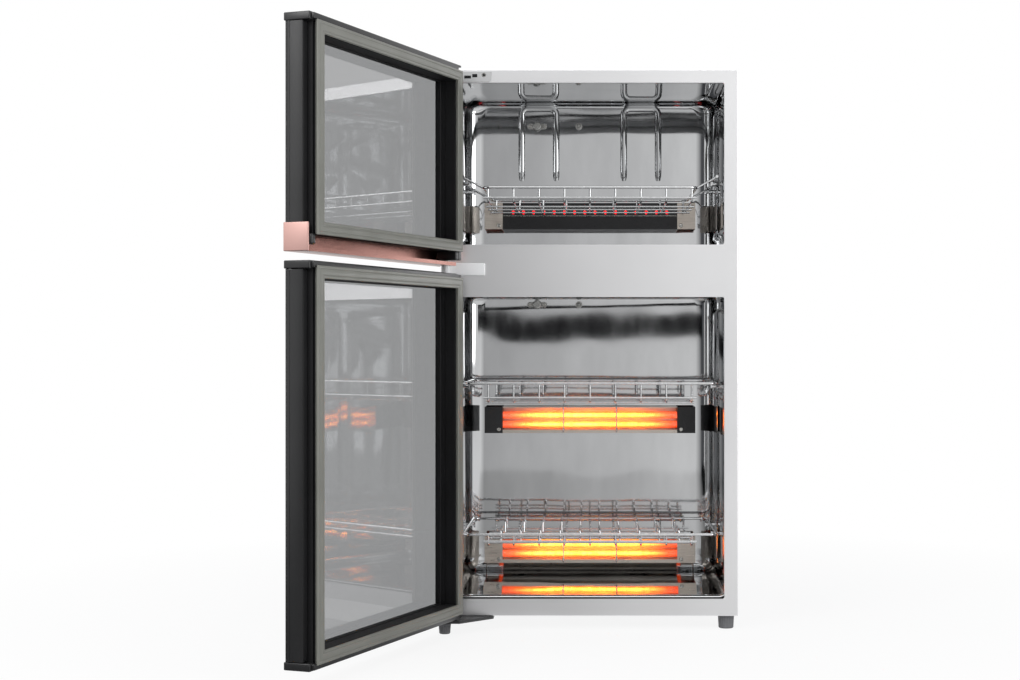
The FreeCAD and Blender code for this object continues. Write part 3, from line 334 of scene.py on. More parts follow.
# %% Mirror stainless steel, bright annealed and pressed
finishes["polished_liner"], tree, place = new_material("stainless_steel_bright_annealed_pressed")
tall = node(tree, "ShaderNodeMapping", {"Scale": (1, 1, 1 / 1.4)}, Vector=(place, "Object"))
wave = node(tree, "ShaderNodeTexNoise", {"Scale": cells(120), "Detail": 0.5}, Vector=(tall, 0))
wiped = node(tree, "ShaderNodeMapping", {"Scale": (1, 1, 1 / 3)}, Vector=(place, "Object"))
haze = node(tree, "ShaderNodeTexNoise", {"Scale": cells(35), "Detail": 3.0}, Vector=(wiped, 0))
surface(tree, {"Metallic": 1.0}, tone=((haze, 0), "#bdbebf", "#c6c7c8"),
        rough=((haze, 0), 0.03, 0.06), relief=((wave, 0), 2.2, 0.5))
print(finishes["polished_liner"].name)

# %% [markdown]
# The wrap-round case is mild steel with a silver-grey powder coat. Powder flows out into a fine
# orange peel of about two millimetres, seen only as a soft sparkle in the highlights. Its metal
# flake gives a little metallic tint under a thin clear coat.

# %% Powder-coated steel
finishes["case_paint"], tree, place = new_material("steel_powder_coated_silver_grey")
peel = node(tree, "ShaderNodeTexNoise", {"Scale": cells(2.2), "Detail": 1.0},
            Vector=(place, "Object"))
speck = node(tree, "ShaderNodeTexNoise", {"Scale": cells(0.8), "Detail": 0.0},
             Vector=(place, "Object"))
surface(tree, {"Metallic": 0.35, "Roughness": 0.42, "Coat Weight": 0.15},
        tone=((speck, 0), "#b9babb", "#c4c5c6"), relief=((peel, 0), 0.05, 0.35))
print(finishes["case_paint"].name)

# %% [markdown]
# The back, the base and the inner shelf are hot-dip galvanised. Zinc freezes in flat crystals,
# the spangle, about ten millimetres across. Noise would give soft clouds, but each crystal has
# one brightness and sharp borders, which is what the cells of a Voronoi texture give.

# %% Galvanised sheet
finishes["galvanised_sheet"], tree, place = new_material("steel_hot_dip_galvanised")
crystal = node(tree, "ShaderNodeTexVoronoi", {"Scale": cells(11)}, Vector=(place, "Object"))
fine = node(tree, "ShaderNodeTexNoise", {"Scale": cells(0.7)}, Vector=(place, "Object"))
surface(tree, {"Metallic": 0.9}, tone=((crystal, "Color"), "#a3a7aa", "#b8bcbe", 0.15, 0.75),
        rough=((crystal, "Color"), 0.36, 0.52, 0.1, 0.8), relief=((fine, 0), 0.02, 0.3))
print(finishes["galvanised_sheet"].name)

# %% [markdown]
# The many small parts are of other metals, plastics and rubbers, and one recipe with real sizes
# serves them all. Painted and moulded surfaces vary in soft clouds of some centimetres. On bare
# metal the tone follows the same fine marks as the polish does.

# %% Recipe for small parts
def fine_finish(slot, name, tones, rough, mark_mm, relief_mm, settings, cloud_mm=60,
                stretch=(1, 1, 1)):
    """Two close tones, a roughness range and a relief; without clouds, tones follow marks."""
    finishes[slot], tree, place = new_material(name)
    drawn = node(tree, "ShaderNodeMapping", {"Scale": tuple(1 / s for s in stretch)},
                 Vector=(place, "Object"))
    marks = node(tree, "ShaderNodeTexNoise", {"Scale": cells(mark_mm), "Detail": 3.0},
                 Vector=(drawn, 0))
    cloud = marks
    if cloud_mm:
        cloud = node(tree, "ShaderNodeTexNoise", {"Scale": cells(cloud_mm)},
                     Vector=(place, "Object"))
    surface(tree, settings, tone=((cloud, 0), *tones), rough=((marks, 0), *rough),
            relief=((marks, 0), relief_mm, 0.5 if cloud_mm else 0.4))
    print(name)

# %% [markdown]
# Screws, pegs, sensors, brackets and rack wire are other metals, each with its own polish:
# nickel-plated, drawn, stamped or chrome-plated. They differ only in colour, roughness and the
# size of their marks. Stamped and rolled ones have marks drawn out along one side.

# %% Plain metals
def metal(*look, stretch=(1, 1, 1)):
    """A bare or plated metal, which keeps the default IOR."""
    fine_finish(*look, {"Metallic": 1.0}, cloud_mm=None, stretch=stretch)


metal("screw_steel", "steel_nickel_plated_screw", ("#a8a7a3", "#c6c5c0"), (0.18, 0.30), 1.2, 0.02)
metal("sensor_metal", "aluminium_drawn_can", ("#a9a9a6", "#c4c4c1"), (0.22, 0.36), 1.5, 0.02)
metal("heater_steel", "steel_aluminised_stamped", ("#c6bcb2", "#dad1c7"), (0.26, 0.42), 3.0, 0.03,
      stretch=(8, 1, 1))
metal("rack_chrome", "steel_wire_chrome_plated", ("#cfd0d1", "#e0e1e2"), (0.06, 0.14), 4.0, 0.02)
metal("transformer_iron", "silicon_steel_laminated", ("#4d4b49", "#6d6a66"), (0.40, 0.60),
      0.6, 0.05, stretch=(1, 40, 40))

# %% [markdown]
# Plastics, paints and rubbers reflect a little of the light at their surface and scatter the rest
# in their own colour. Moulded parts carry a fine spark-eroded grain from the mould, and paint on
# metal is smoother.

# %% Moulded, painted and rubber finishes
def solid_finish(*look, settings=None):
    """A plastic, paint or rubber; an IOR of 1.5 suits them all."""
    fine_finish(*look, {"IOR": 1.5, **(settings or {})})


solid_finish("foot_rubber", "rubber_moulded_foot", ("#5e5e60", "#6e6e70"), (0.50, 0.70), 0.7, 0.05)
solid_finish("black_plastic", "polyamide_moulded_black", ("#121213", "#18181a"),
             (0.55, 0.70), 0.8, 0.04, settings={"Specular IOR Level": 0.2})
solid_finish("insulation_wool", "mineral_wool_board", ("#b7a77c", "#cdbd90"),
             (0.85, 0.95), 2.0, 0.8)
solid_finish("board", "glass_epoxy_solder_mask", ("#1e5a35", "#256b40"), (0.25, 0.35), 1.2, 0.02)
solid_finish("heater_black", "steel_heat_proof_black_enamel", ("#1c1c1f", "#262629"),
             (0.26, 0.42), 1.2, 0.04)
solid_finish("hinge_silver", "zinc_die_cast_silver_painted", ("#f2f2f2", "#f8f8f8"),
             (0.40, 0.52), 1.6, 0.03, settings={"Metallic": 0.1})
solid_finish("hinge_grey", "zinc_die_cast_grey_painted", ("#b4b4b4", "#bebebe"),
             (0.34, 0.46), 1.6, 0.03, settings={"Metallic": 0.3})
solid_finish("hinge_black", "steel_black_e_coated", ("#242425", "#2e2e2f"), (0.32, 0.46), 1.4, 0.03)
solid_finish("door_black", "aluminium_anodised_black_satin", ("#1a1a1b", "#202021"),
             (0.28, 0.38), 0.9, 0.02)
solid_finish("seal_rubber", "rubber_magnetic_seal_extruded", ("#74746d", "#7e7e77"),
             (0.34, 0.44), 1.0, 0.03)
solid_finish("rose_gold", "aluminium_anodised_rose_gold", ("#c69f97", "#cea79f"),
             (0.40, 0.50), 0.8, 0.02, settings={"Metallic": 0.8})
# The channel's darker, glossier rose gold is painted shade, for the shade inside it under the upper
# door.
solid_finish("rose_gold_channel", "aluminium_anodised_rose_gold_extruded", ("#8f6359", "#996c62"),
             (0.24, 0.32), 0.8, 0.02, settings={"Metallic": 1.0})
solid_finish("bush_nylon", "nylon_moulded_bush", ("#d8d6cf", "#e2e0d9"), (0.40, 0.52), 0.8, 0.03)

# %% [markdown]
# The door panes are tempered glass with a dark grey tint. A pane is a slab with two faces, so
# light that goes through it is tinted twice and leaves as straight as it came. The faces are as
# smooth as the float bath made them.

# %% Tempered tinted glass
finishes["door_glass"], tree, place = new_material("glass_float_tempered_grey_tint")
smear = node(tree, "ShaderNodeTexNoise", {"Scale": cells(45), "Detail": 3.0},
             Vector=(place, "Object"))
surface(tree, {"Base Color": linear("#a0a1a2"), "IOR": 1.52, "Transmission Weight": 1.0},
        rough=((smear, 0), 0.0, 0.03))
print(finishes["door_glass"].name)

# %% [markdown]
# A heater coil is brightest where its turns are wound closest, and it cools towards its ends. A
# lamp inside the tube could give the light, but a glowing surface lights its own tube and
# reflector. The glow is drawn along X, the tube's length.

# %% Glow along a tube
TUBE_HALF = 140


def glow_along(tree, place, hot, cool):
    """Brightness that is full in the middle of a tube and falls at its ends."""
    apart = node(tree, "ShaderNodeSeparateXYZ", Vector=(place, "Object"))
    far = node(tree, "ShaderNodeMath", {"operation": "ABSOLUTE"}, _0=(apart, "X"))
    return node(tree, "ShaderNodeMapRange",
                {"interpolation_type": "SMOOTHSTEP", "From Min": TUBE_HALF * 0.4 * MM,
                 "From Max": TUBE_HALF * 0.97 * MM, "To Min": hot, "To Max": cool}, Value=(far, 0))


print("a tube is", 2 * TUBE_HALF, "mm long")

# %% [markdown]
# A quartz tube is fused silica, lit from inside by its coil. It passes most of the light and
# glows a little itself. Fine streaks run along it from drawing. The milky and the ruby tube
# differ only in values, so one recipe makes both.

# %% Quartz tubes
def quartz_tube(slot, name, colour, clear, glow, rough, hot, cool):
    """Fused silica of a colour; clear is the share of light that goes through."""
    finishes[slot], tree, place = new_material(name)
    drawn = node(tree, "ShaderNodeMapping", {"Scale": (1 / 12, 1, 1)}, Vector=(place, "Object"))
    streak = node(tree, "ShaderNodeTexNoise", {"Scale": cells(3)}, Vector=(drawn, 0))
    power = glow_along(tree, place, hot, cool)
    surface(tree, {"Base Color": linear(colour), "IOR": 1.46, "Transmission Weight": clear,
                   "Emission Color": linear(glow)},
            rough=((streak, 0), *rough), Emission_Strength=(power, 0))
    print(name)


quartz_tube("quartz", "quartz_fused_milky_tube", "#fff0dc", 0.75, "#ff4a12", (0.12, 0.3), 0.8, 0.3)
quartz_tube("quartz_red", "quartz_fused_ruby_tube", "#d8383a", 0.6, "#f01424",
            (0.15, 0.3), 1.2, 1.2)

# %% [markdown]
# The coil is nickel-chrome wire at about a thousand degrees, so its light counts and its own
# colour hardly does. A noise of the size of a turn, squeezed along the tube, makes some turns a
# little yellower than others.

# %% Glowing coil
finishes["filament"], tree, place = new_material("nickel_chrome_coil_glowing")
wound = node(tree, "ShaderNodeMapping", {"Scale": (1, 1 / 30, 1 / 30)}, Vector=(place, "Object"))
turns = node(tree, "ShaderNodeTexNoise", {"Scale": cells(2.4), "Detail": 0.0}, Vector=(wound, 0))
colour = node(tree, "ShaderNodeValToRGB",
              {"ramp": [(0.35, "#ffa028"), (0.6, "#ffc850")]}, Fac=(turns, 0))
power = glow_along(tree, place, hot=11.0, cool=0.15)
surface(tree, {"Base Color": linear("#5a4a40"), "Roughness": 0.5},
        Emission_Color=(colour, 0), Emission_Strength=(power, 0))
print(finishes["filament"].name)

# %% [markdown]
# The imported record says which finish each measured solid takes. One loop gives each its finish by
# its slot's name, so that none is missed.

# %% Finish the measured solids
slot_of = {row["node"]: row["material_slot"] for row in frame["record"]["subparts"]}
for name, solid in frame["nodes"].items():
    solid.data.materials.clear()
    solid.data.materials.append(finishes[slot_of[name]])
print("finished solids:", len(slot_of))

# %% [markdown]
# ## Mesh helpers
# A piece is drawn in a bmesh, then made an object. Its normals are recalculated so that they face
# outwards, and an edge stays sharp only where its two faces meet at more than 35 degrees, so that
# bends shade softly and folds stay crisp.

# %% From bmesh to a piece
WELD_GAP = 0.02


def edges_of(verts):
    """The edges that end at any of these points, each once and always in the same order."""
    return list(dict.fromkeys(e for v in verts for e in v.link_edges))


def only(kind, made):
    """The points (BMVert) or edges (BMEdge) among what an operator made."""
    return [part for part in made if isinstance(part, kind)]


def piece(bm, name, finish_slot, body, stands_for=(), sharp_deg=35):
    """Makes the object with its finish and body, and says which measured solids it stands for."""
    bmesh.ops.remove_doubles(bm, verts=bm.verts, dist=WELD_GAP * MM)
    bmesh.ops.recalc_face_normals(bm, faces=bm.faces)
    for face in bm.faces:
        face.smooth = True
    sharp = math.radians(sharp_deg)
    for edge in bm.edges:
        edge.smooth = len(edge.link_faces) != 2 or edge.calc_face_angle(0) < sharp
    made = to_object(bm, name)
    made.data.materials.append(finishes[finish_slot])
    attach(made, body)
    if stands_for:
        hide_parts(*stands_for)
    print(name, len(made.data.polygons), "faces")
    return made


print("pieces weld points closer than", WELD_GAP, "mm")

# %% [markdown]
# Many small parts are blocks with rounded edges. A bevel modifier could round them, but a bevel
# in the mesh gives every part its own radius at once.

# %% A rounded block
def block(bm, x0, x1, y0, y1, z0, z1, edge=0.0, segments=2):
    """A box between two corners in millimetres, with its edges rounded."""
    made = bmesh.ops.create_cube(bm, size=1)["verts"]
    bmesh.ops.scale(bm, verts=made, vec=((x1 - x0) * MM, (y1 - y0) * MM, (z1 - z0) * MM))
    middle = ((x0 + x1) / 2 * MM, (y0 + y1) / 2 * MM, (z0 + z1) / 2 * MM)
    bmesh.ops.translate(bm, verts=made, vec=middle)
    if edge:
        edges = edges_of(made)
        bmesh.ops.bevel(bm, geom=edges, offset=edge * MM, affect="EDGES", segments=segments,
                        profile=0.5, material=-1)


print("block maker ready")

# %% [markdown]
# A wire is bent as a wire bender does it: pushed along a straight run, then turned round the
# bend. A curve with a round bevel could make it, but its corners need handles set by hand. Here a
# circle is extruded along each run and spun about the middle of each bend, so each bend has its
# true radius.

# %% Bent wire
def wire(bm, points, radius, bend, sides=10, steps=5):
    """A round wire through points in millimetres; bend is its middle line's radius at corners."""
    points = [Vector(p) * MM for p in points]
    radius, bend = radius * MM, bend * MM
    turn = (points[1] - points[0]).to_track_quat("Z", "Y").to_matrix().to_4x4()
    start = bmesh.ops.create_circle(bm, cap_ends=True, segments=sides, radius=radius,
                                    matrix=Matrix.Translation(points[0]) @ turn)["verts"]
    ring = edges_of(start)
    here = points[0]
    for index in range(1, len(points)):
        corner = points[index]
        run = (corner - points[index - 1]).normalized()
        last = index == len(points) - 1
        if last:
            stop = corner
        else:
            away = (points[index + 1] - corner).normalized()
            angle = run.angle(away)
            stop = corner - run * bend * math.tan(angle / 2)
        made = bmesh.ops.extrude_edge_only(bm, edges=ring)["geom"]
        moved = only(bmesh.types.BMVert, made)
        ring = only(bmesh.types.BMEdge, made)
        bmesh.ops.translate(bm, verts=moved, vec=stop - here)
        here = stop
        if not last:
            axis = run.cross(away).normalized()
            centre = stop + axis.cross(run) * bend
            made = bmesh.ops.spin(bm, geom=ring + moved, cent=centre, axis=axis, angle=angle,
                                  steps=steps, use_duplicate=False)["geom_last"]
            ring = only(bmesh.types.BMEdge, made)
            here = corner + away * bend * math.tan(angle / 2)
    bmesh.ops.edgeloop_fill(bm, edges=ring)


print("wire bender ready")

# %% [markdown]
# ## Doors
# Both doors are drawn shut, in their own drawing space: u runs along the width from the hinge
# edge, v from the outer glass face towards the cabinet, and z is height. One matrix then hangs
# them open on their pins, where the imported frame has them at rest.

# %% Door space
PIVOT = Vector((-208 * MM, -196.5 * MM, 0))
PIN_IN_DOOR = Vector((7 * MM, 11 * MM, 0))
OPEN_ANGLE = math.radians(-110.5)
HANG = (Matrix.Translation(PIVOT) @ Matrix.Rotation(OPEN_ANGLE, 4, "Z")
        @ Matrix.Translation(-PIN_IN_DOOR))


def hang(bm):
    """Swings a door piece from its drawing space to where the door stands open."""
    bmesh.ops.transform(bm, verts=bm.verts, matrix=HANG)
    return bm


print("doors hang at", tuple(round(c / MM, 1) for c in PIVOT))

# %% [markdown]
# Door bars and seals are long extrusions sawn at 45 degrees and joined at the corners. Four
# separate bars would need four cuts each. One loop of edges drawn from line to line of the
# profile gives all four with their mitres at once, so that is how every frame here is made.

# %% Mitred frame from a profile
def ring_loop(rect, inset, v):
    """Corner points of a rectangle (u0, u1, z0, z1) drawn in by inset, at depth v."""
    u0, u1, z0, z1 = rect
    u0, u1, z0, z1 = u0 + inset, u1 - inset, z0 + inset, z1 - inset
    return [Vector((u, v, z)) * MM for u, z in ((u0, z0), (u1, z0), (u1, z1), (u0, z1))]


def profile_ring(bm, profile):
    """A mitred frame: four edges are extruded from line to line of the profile, and closed."""
    rect, inset, v = profile[0]
    corners = [bm.verts.new(p) for p in ring_loop(rect, inset, v)]
    first = [bm.edges.new((corners[i], corners[(i + 1) % 4])) for i in range(4)]
    ring = first
    for rect, inset, v in profile[1:]:
        made = bmesh.ops.extrude_edge_only(bm, edges=ring)["geom"]
        ring = only(bmesh.types.BMEdge, made)
        moved = dict.fromkeys(vert for e in ring for vert in e.verts)
        target = ring_loop(rect, inset, v)
        middle = sum(target, Vector()) / 4
        for vert in moved:
            old = vert.co - Vector((middle.x, vert.co.y, middle.z))
            vert.co = next(p for p in target
                           if (p.x > middle.x) == (old.x > 0) and (p.z > middle.z) == (old.z > 0))
    bmesh.ops.bridge_loops(bm, edges=first + ring)


print("frame maker ready")

# %% [markdown]
# Each door is four black anodised aluminium bars with mitred corners round the glass. A plain box
# would lose the light that runs along a real extrusion, so the bar's outer face has its shallow
# drawn line and its edges are rounded, as points of the profile.

# %% Door bars
DOOR_WIDE = 430
WINDOW_INSET = 22
BAR_LIP = 6
GLASS_BACK = 4.2
UPPER_WINDOW = (24, 405, 541.5, 768.5)
LOWER_WINDOW = (24, 405, 24.9, 473.5)


def door_bars(door, low, high, window):
    """Aluminium bars from the glass edge to the step, 25 mm deep."""
    outer = (0.4, DOOR_WIDE - 0.4, low, high)
    lip = WINDOW_INSET - BAR_LIP
    inner = (lip, DOOR_WIDE - lip, window[2] - BAR_LIP, window[3] + BAR_LIP)
    bm = bmesh.new()
    profile_ring(bm, [(outer, 1.6, 1.0), (outer, 0.5, 1.3), (outer, 0, 2.2), (outer, 0, 6.0),
                      (outer, 0.5, 6.3), (outer, 0.5, 6.9), (outer, 0, 7.2), (outer, 0, 23.6),
                      (outer, 0.5, 24.6), (outer, 1.4, 25.0), (inner, 0, 25.0),
                      (inner, 0, GLASS_BACK), (outer, 1.6, GLASS_BACK)])
    piece(hang(bm), door + "_door_bars", "door_black", door + "_door", (door + "_door_frame",))


door_bars("upper", 527, 782.2, UPPER_WINDOW)
door_bars("lower", 13.2, 484.2, LOWER_WINDOW)

# %% [markdown]
# Behind the bars a matt black plastic frame holds the pane and carries the seal. Little of it
# shows, but between bar and seal it falls back into a groove that stays deep black, and that is
# what makes the seal look as if it floats.

# %% Inner frames
UPPER_SEAL = (8.5, 420.5, 526, 784)
LOWER_SEAL = (8.5, 420.5, 9.4, 489)


def inner_frame(door, seal, window):
    """Plastic frame with a groove round the seal and a stepped edge towards the glass."""
    bm = bmesh.new()
    profile_ring(bm, [(seal, 0.4, 25.0), (seal, 0.4, 32.0), (seal, 1.0, 32.6), (seal, 2.0, 32.6),
                      (seal, 2.2, 30.0), (seal, 3.2, 30.0), (seal, 3.4, 36.0), (window, -0.8, 36.0),
                      (window, 0, 35.2), (window, 0, 21.0), (window, -1.2, 20.2),
                      (window, -1.2, 12.6), (window, 0, 11.8), (window, 0, GLASS_BACK),
                      (window, -BAR_LIP, GLASS_BACK), (window, -BAR_LIP, 25.0)])
    piece(hang(bm), door + "_door_inner_frame", "black_plastic", door + "_door")


inner_frame("upper", UPPER_SEAL, UPPER_WINDOW)
inner_frame("lower", LOWER_SEAL, LOWER_WINDOW)

# %% [markdown]
# The seal is an extruded rubber strip, welded at its corners. It has a flat crown with a magnet
# inside, thin bellows behind it, and a fine groove down its middle. A bevelled block would have
# none of these, so the whole strip is one profile, drawn point by point.

# %% Rubber seals
SEAL_WIDE = 15.5


def seal(door, rect):
    """Seal from the plastic frame at v 36 to its crown at v 41."""
    inside = (rect[0] + SEAL_WIDE, rect[1] - SEAL_WIDE, rect[2] + SEAL_WIDE, rect[3] - SEAL_WIDE)
    bm = bmesh.new()
    profile_ring(bm, [(rect, 1.4, 36.0), (rect, 0.4, 36.8), (rect, 1.3, 37.6), (rect, 0, 38.4),
                      (rect, 0, 39.8), (rect, 0.7, 40.7), (rect, 2.0, 41.0), (rect, 3.2, 40.7),
                      (rect, 3.8, 40.3), (rect, 4.4, 40.7), (rect, 5.2, 41.0),
                      (inside, -5.2, 41.0), (inside, -4.4, 40.7), (inside, -3.8, 40.3),
                      (inside, -3.2, 40.7), (inside, -2.0, 41.0), (inside, -0.7, 40.7),
                      (inside, 0, 39.8), (inside, 0, 38.4), (inside, -1.3, 37.6),
                      (inside, -0.4, 36.8), (inside, -1.4, 36.0)])
    piece(hang(bm), door + "_door_seal", "seal_rubber", door + "_door", (door + "_door_gasket",))


seal("upper", UPPER_SEAL)
seal("lower", LOWER_SEAL)

# %% [markdown]
# Each door ends in moulded caps that hold the bars together. A cap stands a little proud of the
# bars, with a narrow shadow gap. At the hinge end it is slotted behind its outer skin, so that
# the door can swing over its hinge arm. The slot could be cut with a boolean, but leaving it open
# between blocks keeps every edge round and clean.

# %% Door caps
NOTCH_WIDE = 14.0
NOTCH_SKIN = 1.0
CAP_FRONT = -2.1
CAP_BACK = 33.8


def door_cap(name, low, high, stands_for, body, slot):
    """A cap across the door, with a slot (z0, z1) at its hinge end and a step towards the seal."""
    bm = bmesh.new()
    block(bm, NOTCH_WIDE, DOOR_WIDE - 0.6, CAP_FRONT, CAP_BACK, low, high, edge=1.4, segments=4)
    block(bm, 0.2, NOTCH_WIDE + 1.5, CAP_FRONT, NOTCH_SKIN, low, high, edge=1.0, segments=3)
    for z0, z1 in ((low, slot[0]), (slot[1], high)):
        if z1 - z0 > 1:
            block(bm, 0.2, NOTCH_WIDE + 1.5, CAP_FRONT + 0.3, CAP_BACK, z0, z1, edge=0.4)
    block(bm, NOTCH_WIDE + 2, DOOR_WIDE - 5, 2.5, 37.5, low + 1.2, high - 1.2, edge=1.0, segments=3)
    piece(hang(bm), name, "door_black", body, (stands_for,))


door_cap("upper_door_top_cap", 783, 793, "upper_door_cap", "upper_door", (785.7, 790.3))
door_cap("lower_door_upper_cap", 485, 495, "lower_door_top_cap", "lower_door", (493.7, 495))
door_cap("lower_door_lower_cap", 2.4, 12.4, "lower_door_bottom_cap", "lower_door", (2.4, 2.4))

# %% [markdown]
# The handle is an aluminium channel under the upper door, closed at each end by a cast plate. A
# thin flat plate would look like card, so each is three millimetres thick and its rounded rim
# catches the light. The one at the hinge is cut away over the hinge arm.

# %% Handle end plates
PLATE_THICK = 3.2
PLATE_BACK = 32
HANDLE_LOW = 506
HANDLE_HIGH = 541
ARM_CLEAR = 514.6

bm = bmesh.new()
block(bm, DOOR_WIDE - PLATE_THICK, DOOR_WIDE, -2.2, PLATE_BACK, HANDLE_LOW, HANDLE_HIGH,
      edge=1.1, segments=4)
block(bm, 0, PLATE_THICK, -2.2, NOTCH_SKIN, HANDLE_LOW, HANDLE_HIGH, edge=0.8, segments=3)
block(bm, 0, PLATE_THICK, 0, PLATE_BACK, ARM_CLEAR, HANDLE_HIGH, edge=1.1, segments=4)
piece(hang(bm), "upper_door_handle_plates", "rose_gold", "upper_door", ("upper_door_handle_ends",))

# %% [markdown]
# Below the lowest bar of the upper door, its two stiles run on a little, with a rounded end. A
# profile has the same height all round, so they are blocks of their own. The hinge-side one also
# holds the nylon bush of the middle pin.

# %% Stile ends under the upper door
STILE_FRONT = 4.4
STILE_BACK = 35.6
STILE_LOW = 514
STILE_HIGH = 527.2

bm = bmesh.new()
for u0, u1, edge, segments in ((DOOR_WIDE - 13, DOOR_WIDE - PLATE_THICK, 2.6, 4),
                               (14.2, 21.5, 2.0, 4), (PLATE_THICK, 14.4, 1.0, 2)):
    block(bm, u0, u1, STILE_FRONT, STILE_BACK, STILE_LOW, STILE_HIGH, edge=edge, segments=segments)
piece(hang(bm), "upper_door_stile_ends", "door_black", "upper_door")

# %% [markdown]
# ## Chambers
# A chamber is one folded and pressed sheet: a box without a front. Its back is dished by a press
# tool: wide at the sides and the floor, and tight under the ceiling. One bevel would give every
# side the same radius, so the back face is instead drawn in and back in eight small steps along a
# quarter of an ellipse, with its own width for each side.

# %% Dished back
LINER_HALF = 199
LINER_FRONT = -163.5
LINER_BACK = 135
DISH_DEPTH = 14
DISH_SIDE = 26
DISH_TOP = 5
DISH_LOW = 18
DISH_STEPS = 8


def dish_back(bm, floor, ceiling):
    """Draws the chamber's back face in and back, step by step."""
    end = next(f for f in bm.faces if f.normal.y > 0.5)
    bmesh.ops.translate(bm, verts=list(end.verts), vec=(0, -DISH_DEPTH * MM, 0))
    half_high = (ceiling - floor) / 2
    centre = Matrix.Translation((0, 0, -(floor + ceiling) / 2 * MM))
    wide, high, deep, up = 1.0, 1.0, 0.0, 0.0
    for step in range(1, DISH_STEPS + 1):
        angle = step * math.pi / 2 / DISH_STEPS
        drawn = 1 - math.cos(angle)
        now_wide = 1 - DISH_SIDE * drawn / LINER_HALF
        now_high = 1 - (DISH_TOP + DISH_LOW) / 2 * drawn / half_high
        now_up = (DISH_LOW - DISH_TOP) / 2 * drawn
        now_deep = DISH_DEPTH * math.sin(angle)
        bmesh.ops.inset_region(bm, faces=[end], thickness=0.1 * MM, depth=0, use_even_offset=True)
        verts = list(end.verts)
        bmesh.ops.translate(bm, verts=verts, vec=(0, (now_deep - deep) * MM, (now_up - up) * MM))
        bmesh.ops.scale(bm, verts=verts, vec=(now_wide / wide, 1, now_high / high), space=centre)
        wide, high, deep, up = now_wide, now_high, now_deep, now_up


print("the back is dished by", DISH_DEPTH, "mm")

# %% [markdown]
# Two shallow pads with round corners are pressed inwards in each side wall, to stiffen the sheet.
# The wall is cut along the pads' borders, the pads' corners are rounded, and five small insets
# lift each pad by three millimetres with a soft edge. A bump would fake this from in front, but
# not in the mirror of the other wall.

# %% Wall pads
PAD_STARTS = (-141.5, -11.25)
PAD_WIDTH = 116.25
PAD_MARGIN = 24
PAD_CORNER = 14
PAD_INSET = 1.2
PAD_LIFTS = (0.25, 0.75, 1.0, 0.75, 0.25)


def raise_pads(bm, floor, ceiling):
    """Cuts two pads into each side wall and lifts them towards the middle."""
    low, high = (floor + PAD_MARGIN) * MM, (ceiling - PAD_MARGIN) * MM
    cuts = [((0, y * MM, 0), (0, 1, 0)) for start in PAD_STARTS for y in (start, start + PAD_WIDTH)]
    cuts += [((0, 0, z), (0, 0, 1)) for z in (low, high)]
    for place, normal in cuts:
        bmesh.ops.bisect_plane(bm, geom=list(bm.verts) + list(bm.edges) + list(bm.faces),
                               plane_co=place, plane_no=normal)
    pads = []
    for face in bm.faces:
        middle = face.calc_center_median()
        for start in PAD_STARTS:
            inside = start * MM < middle.y < (start + PAD_WIDTH) * MM
            if abs(face.normal.x) > 0.99 and inside and low < middle.z < high:
                pads.append(face)
    for face in pads:
        bmesh.ops.bevel(bm, geom=list(face.verts), offset=PAD_CORNER * MM, affect="VERTICES",
                        segments=6, profile=0.5, material=-1)
    for side in (-1, 1):
        for start in PAD_STARTS:
            middle_y = (start + PAD_WIDTH / 2) * MM
            target = Vector((side * LINER_HALF * MM, middle_y, (low + high) / 2))
            face = min(bm.faces, key=lambda f: (f.calc_center_median() - target).length)
            for lift in PAD_LIFTS:
                bmesh.ops.inset_region(bm, faces=[face], thickness=PAD_INSET * MM, depth=0,
                                       use_even_offset=True)
                bmesh.ops.translate(bm, verts=list(face.verts), vec=(-side * lift * MM, 0, 0))
    print("pads:", len(pads))


print("pads are", PAD_WIDTH, "mm wide")

# %% [markdown]
# Now the sheet itself. A cube has its four long edges bevelled, which gives the fold radius, and
# loses its front face. The back and the pads are pressed, and a solidify modifier gives the sheet
# its thickness of 0.9 mm, outwards, so the inner faces stay where they were drawn.

# %% Chamber shells
SHEET_THICK = 0.9


def chamber(name, floor, ceiling, radius, stands_for):
    """The chamber's inner skin, with the sheet's thickness outside it."""
    bm = bmesh.new()
    block(bm, -LINER_HALF, LINER_HALF, LINER_FRONT, LINER_BACK, floor, ceiling)
    folds = [e for e in bm.edges
             if e.verts[0].co.x == e.verts[1].co.x and e.verts[0].co.z == e.verts[1].co.z]
    bmesh.ops.bevel(bm, geom=folds, offset=radius * MM, affect="EDGES", segments=10,
                    profile=0.5, material=-1)
    front = [f for f in bm.faces if f.normal.y < -0.5]
    bmesh.ops.delete(bm, geom=front, context="FACES_ONLY")
    dish_back(bm, floor, ceiling)
    raise_pads(bm, floor, ceiling)
    skin = piece(bm, name, "polished_liner", "cabinet", stands_for, sharp_deg=50)
    sheet = skin.modifiers.new("sheet_thickness", "SOLIDIFY")
    sheet.thickness = SHEET_THICK * MM
    sheet.offset = 1


chamber("upper_chamber", 531, 786, 17, ("upper_liner_wrap", "upper_liner_back"))
chamber("lower_chamber", 28, 473, 12, ("lower_liner_wrap", "lower_liner_back"))

# %% [markdown]
# Two stiffening beads are pressed into the upper back wall, each an upturned U. They could be cut
# from the sheet with the pads' insets, but a bead is really a wire shape pressed flat: it is bent
# like a wire, then squeezed towards the wall so that only a low, soft rib stands proud.

# %% Pressed beads
BEAD_APART = 83
BEAD_HALF = 28
BEAD_TOP = 778
BEAD_FOOT = 662
BEAD_RADIUS = 5.4

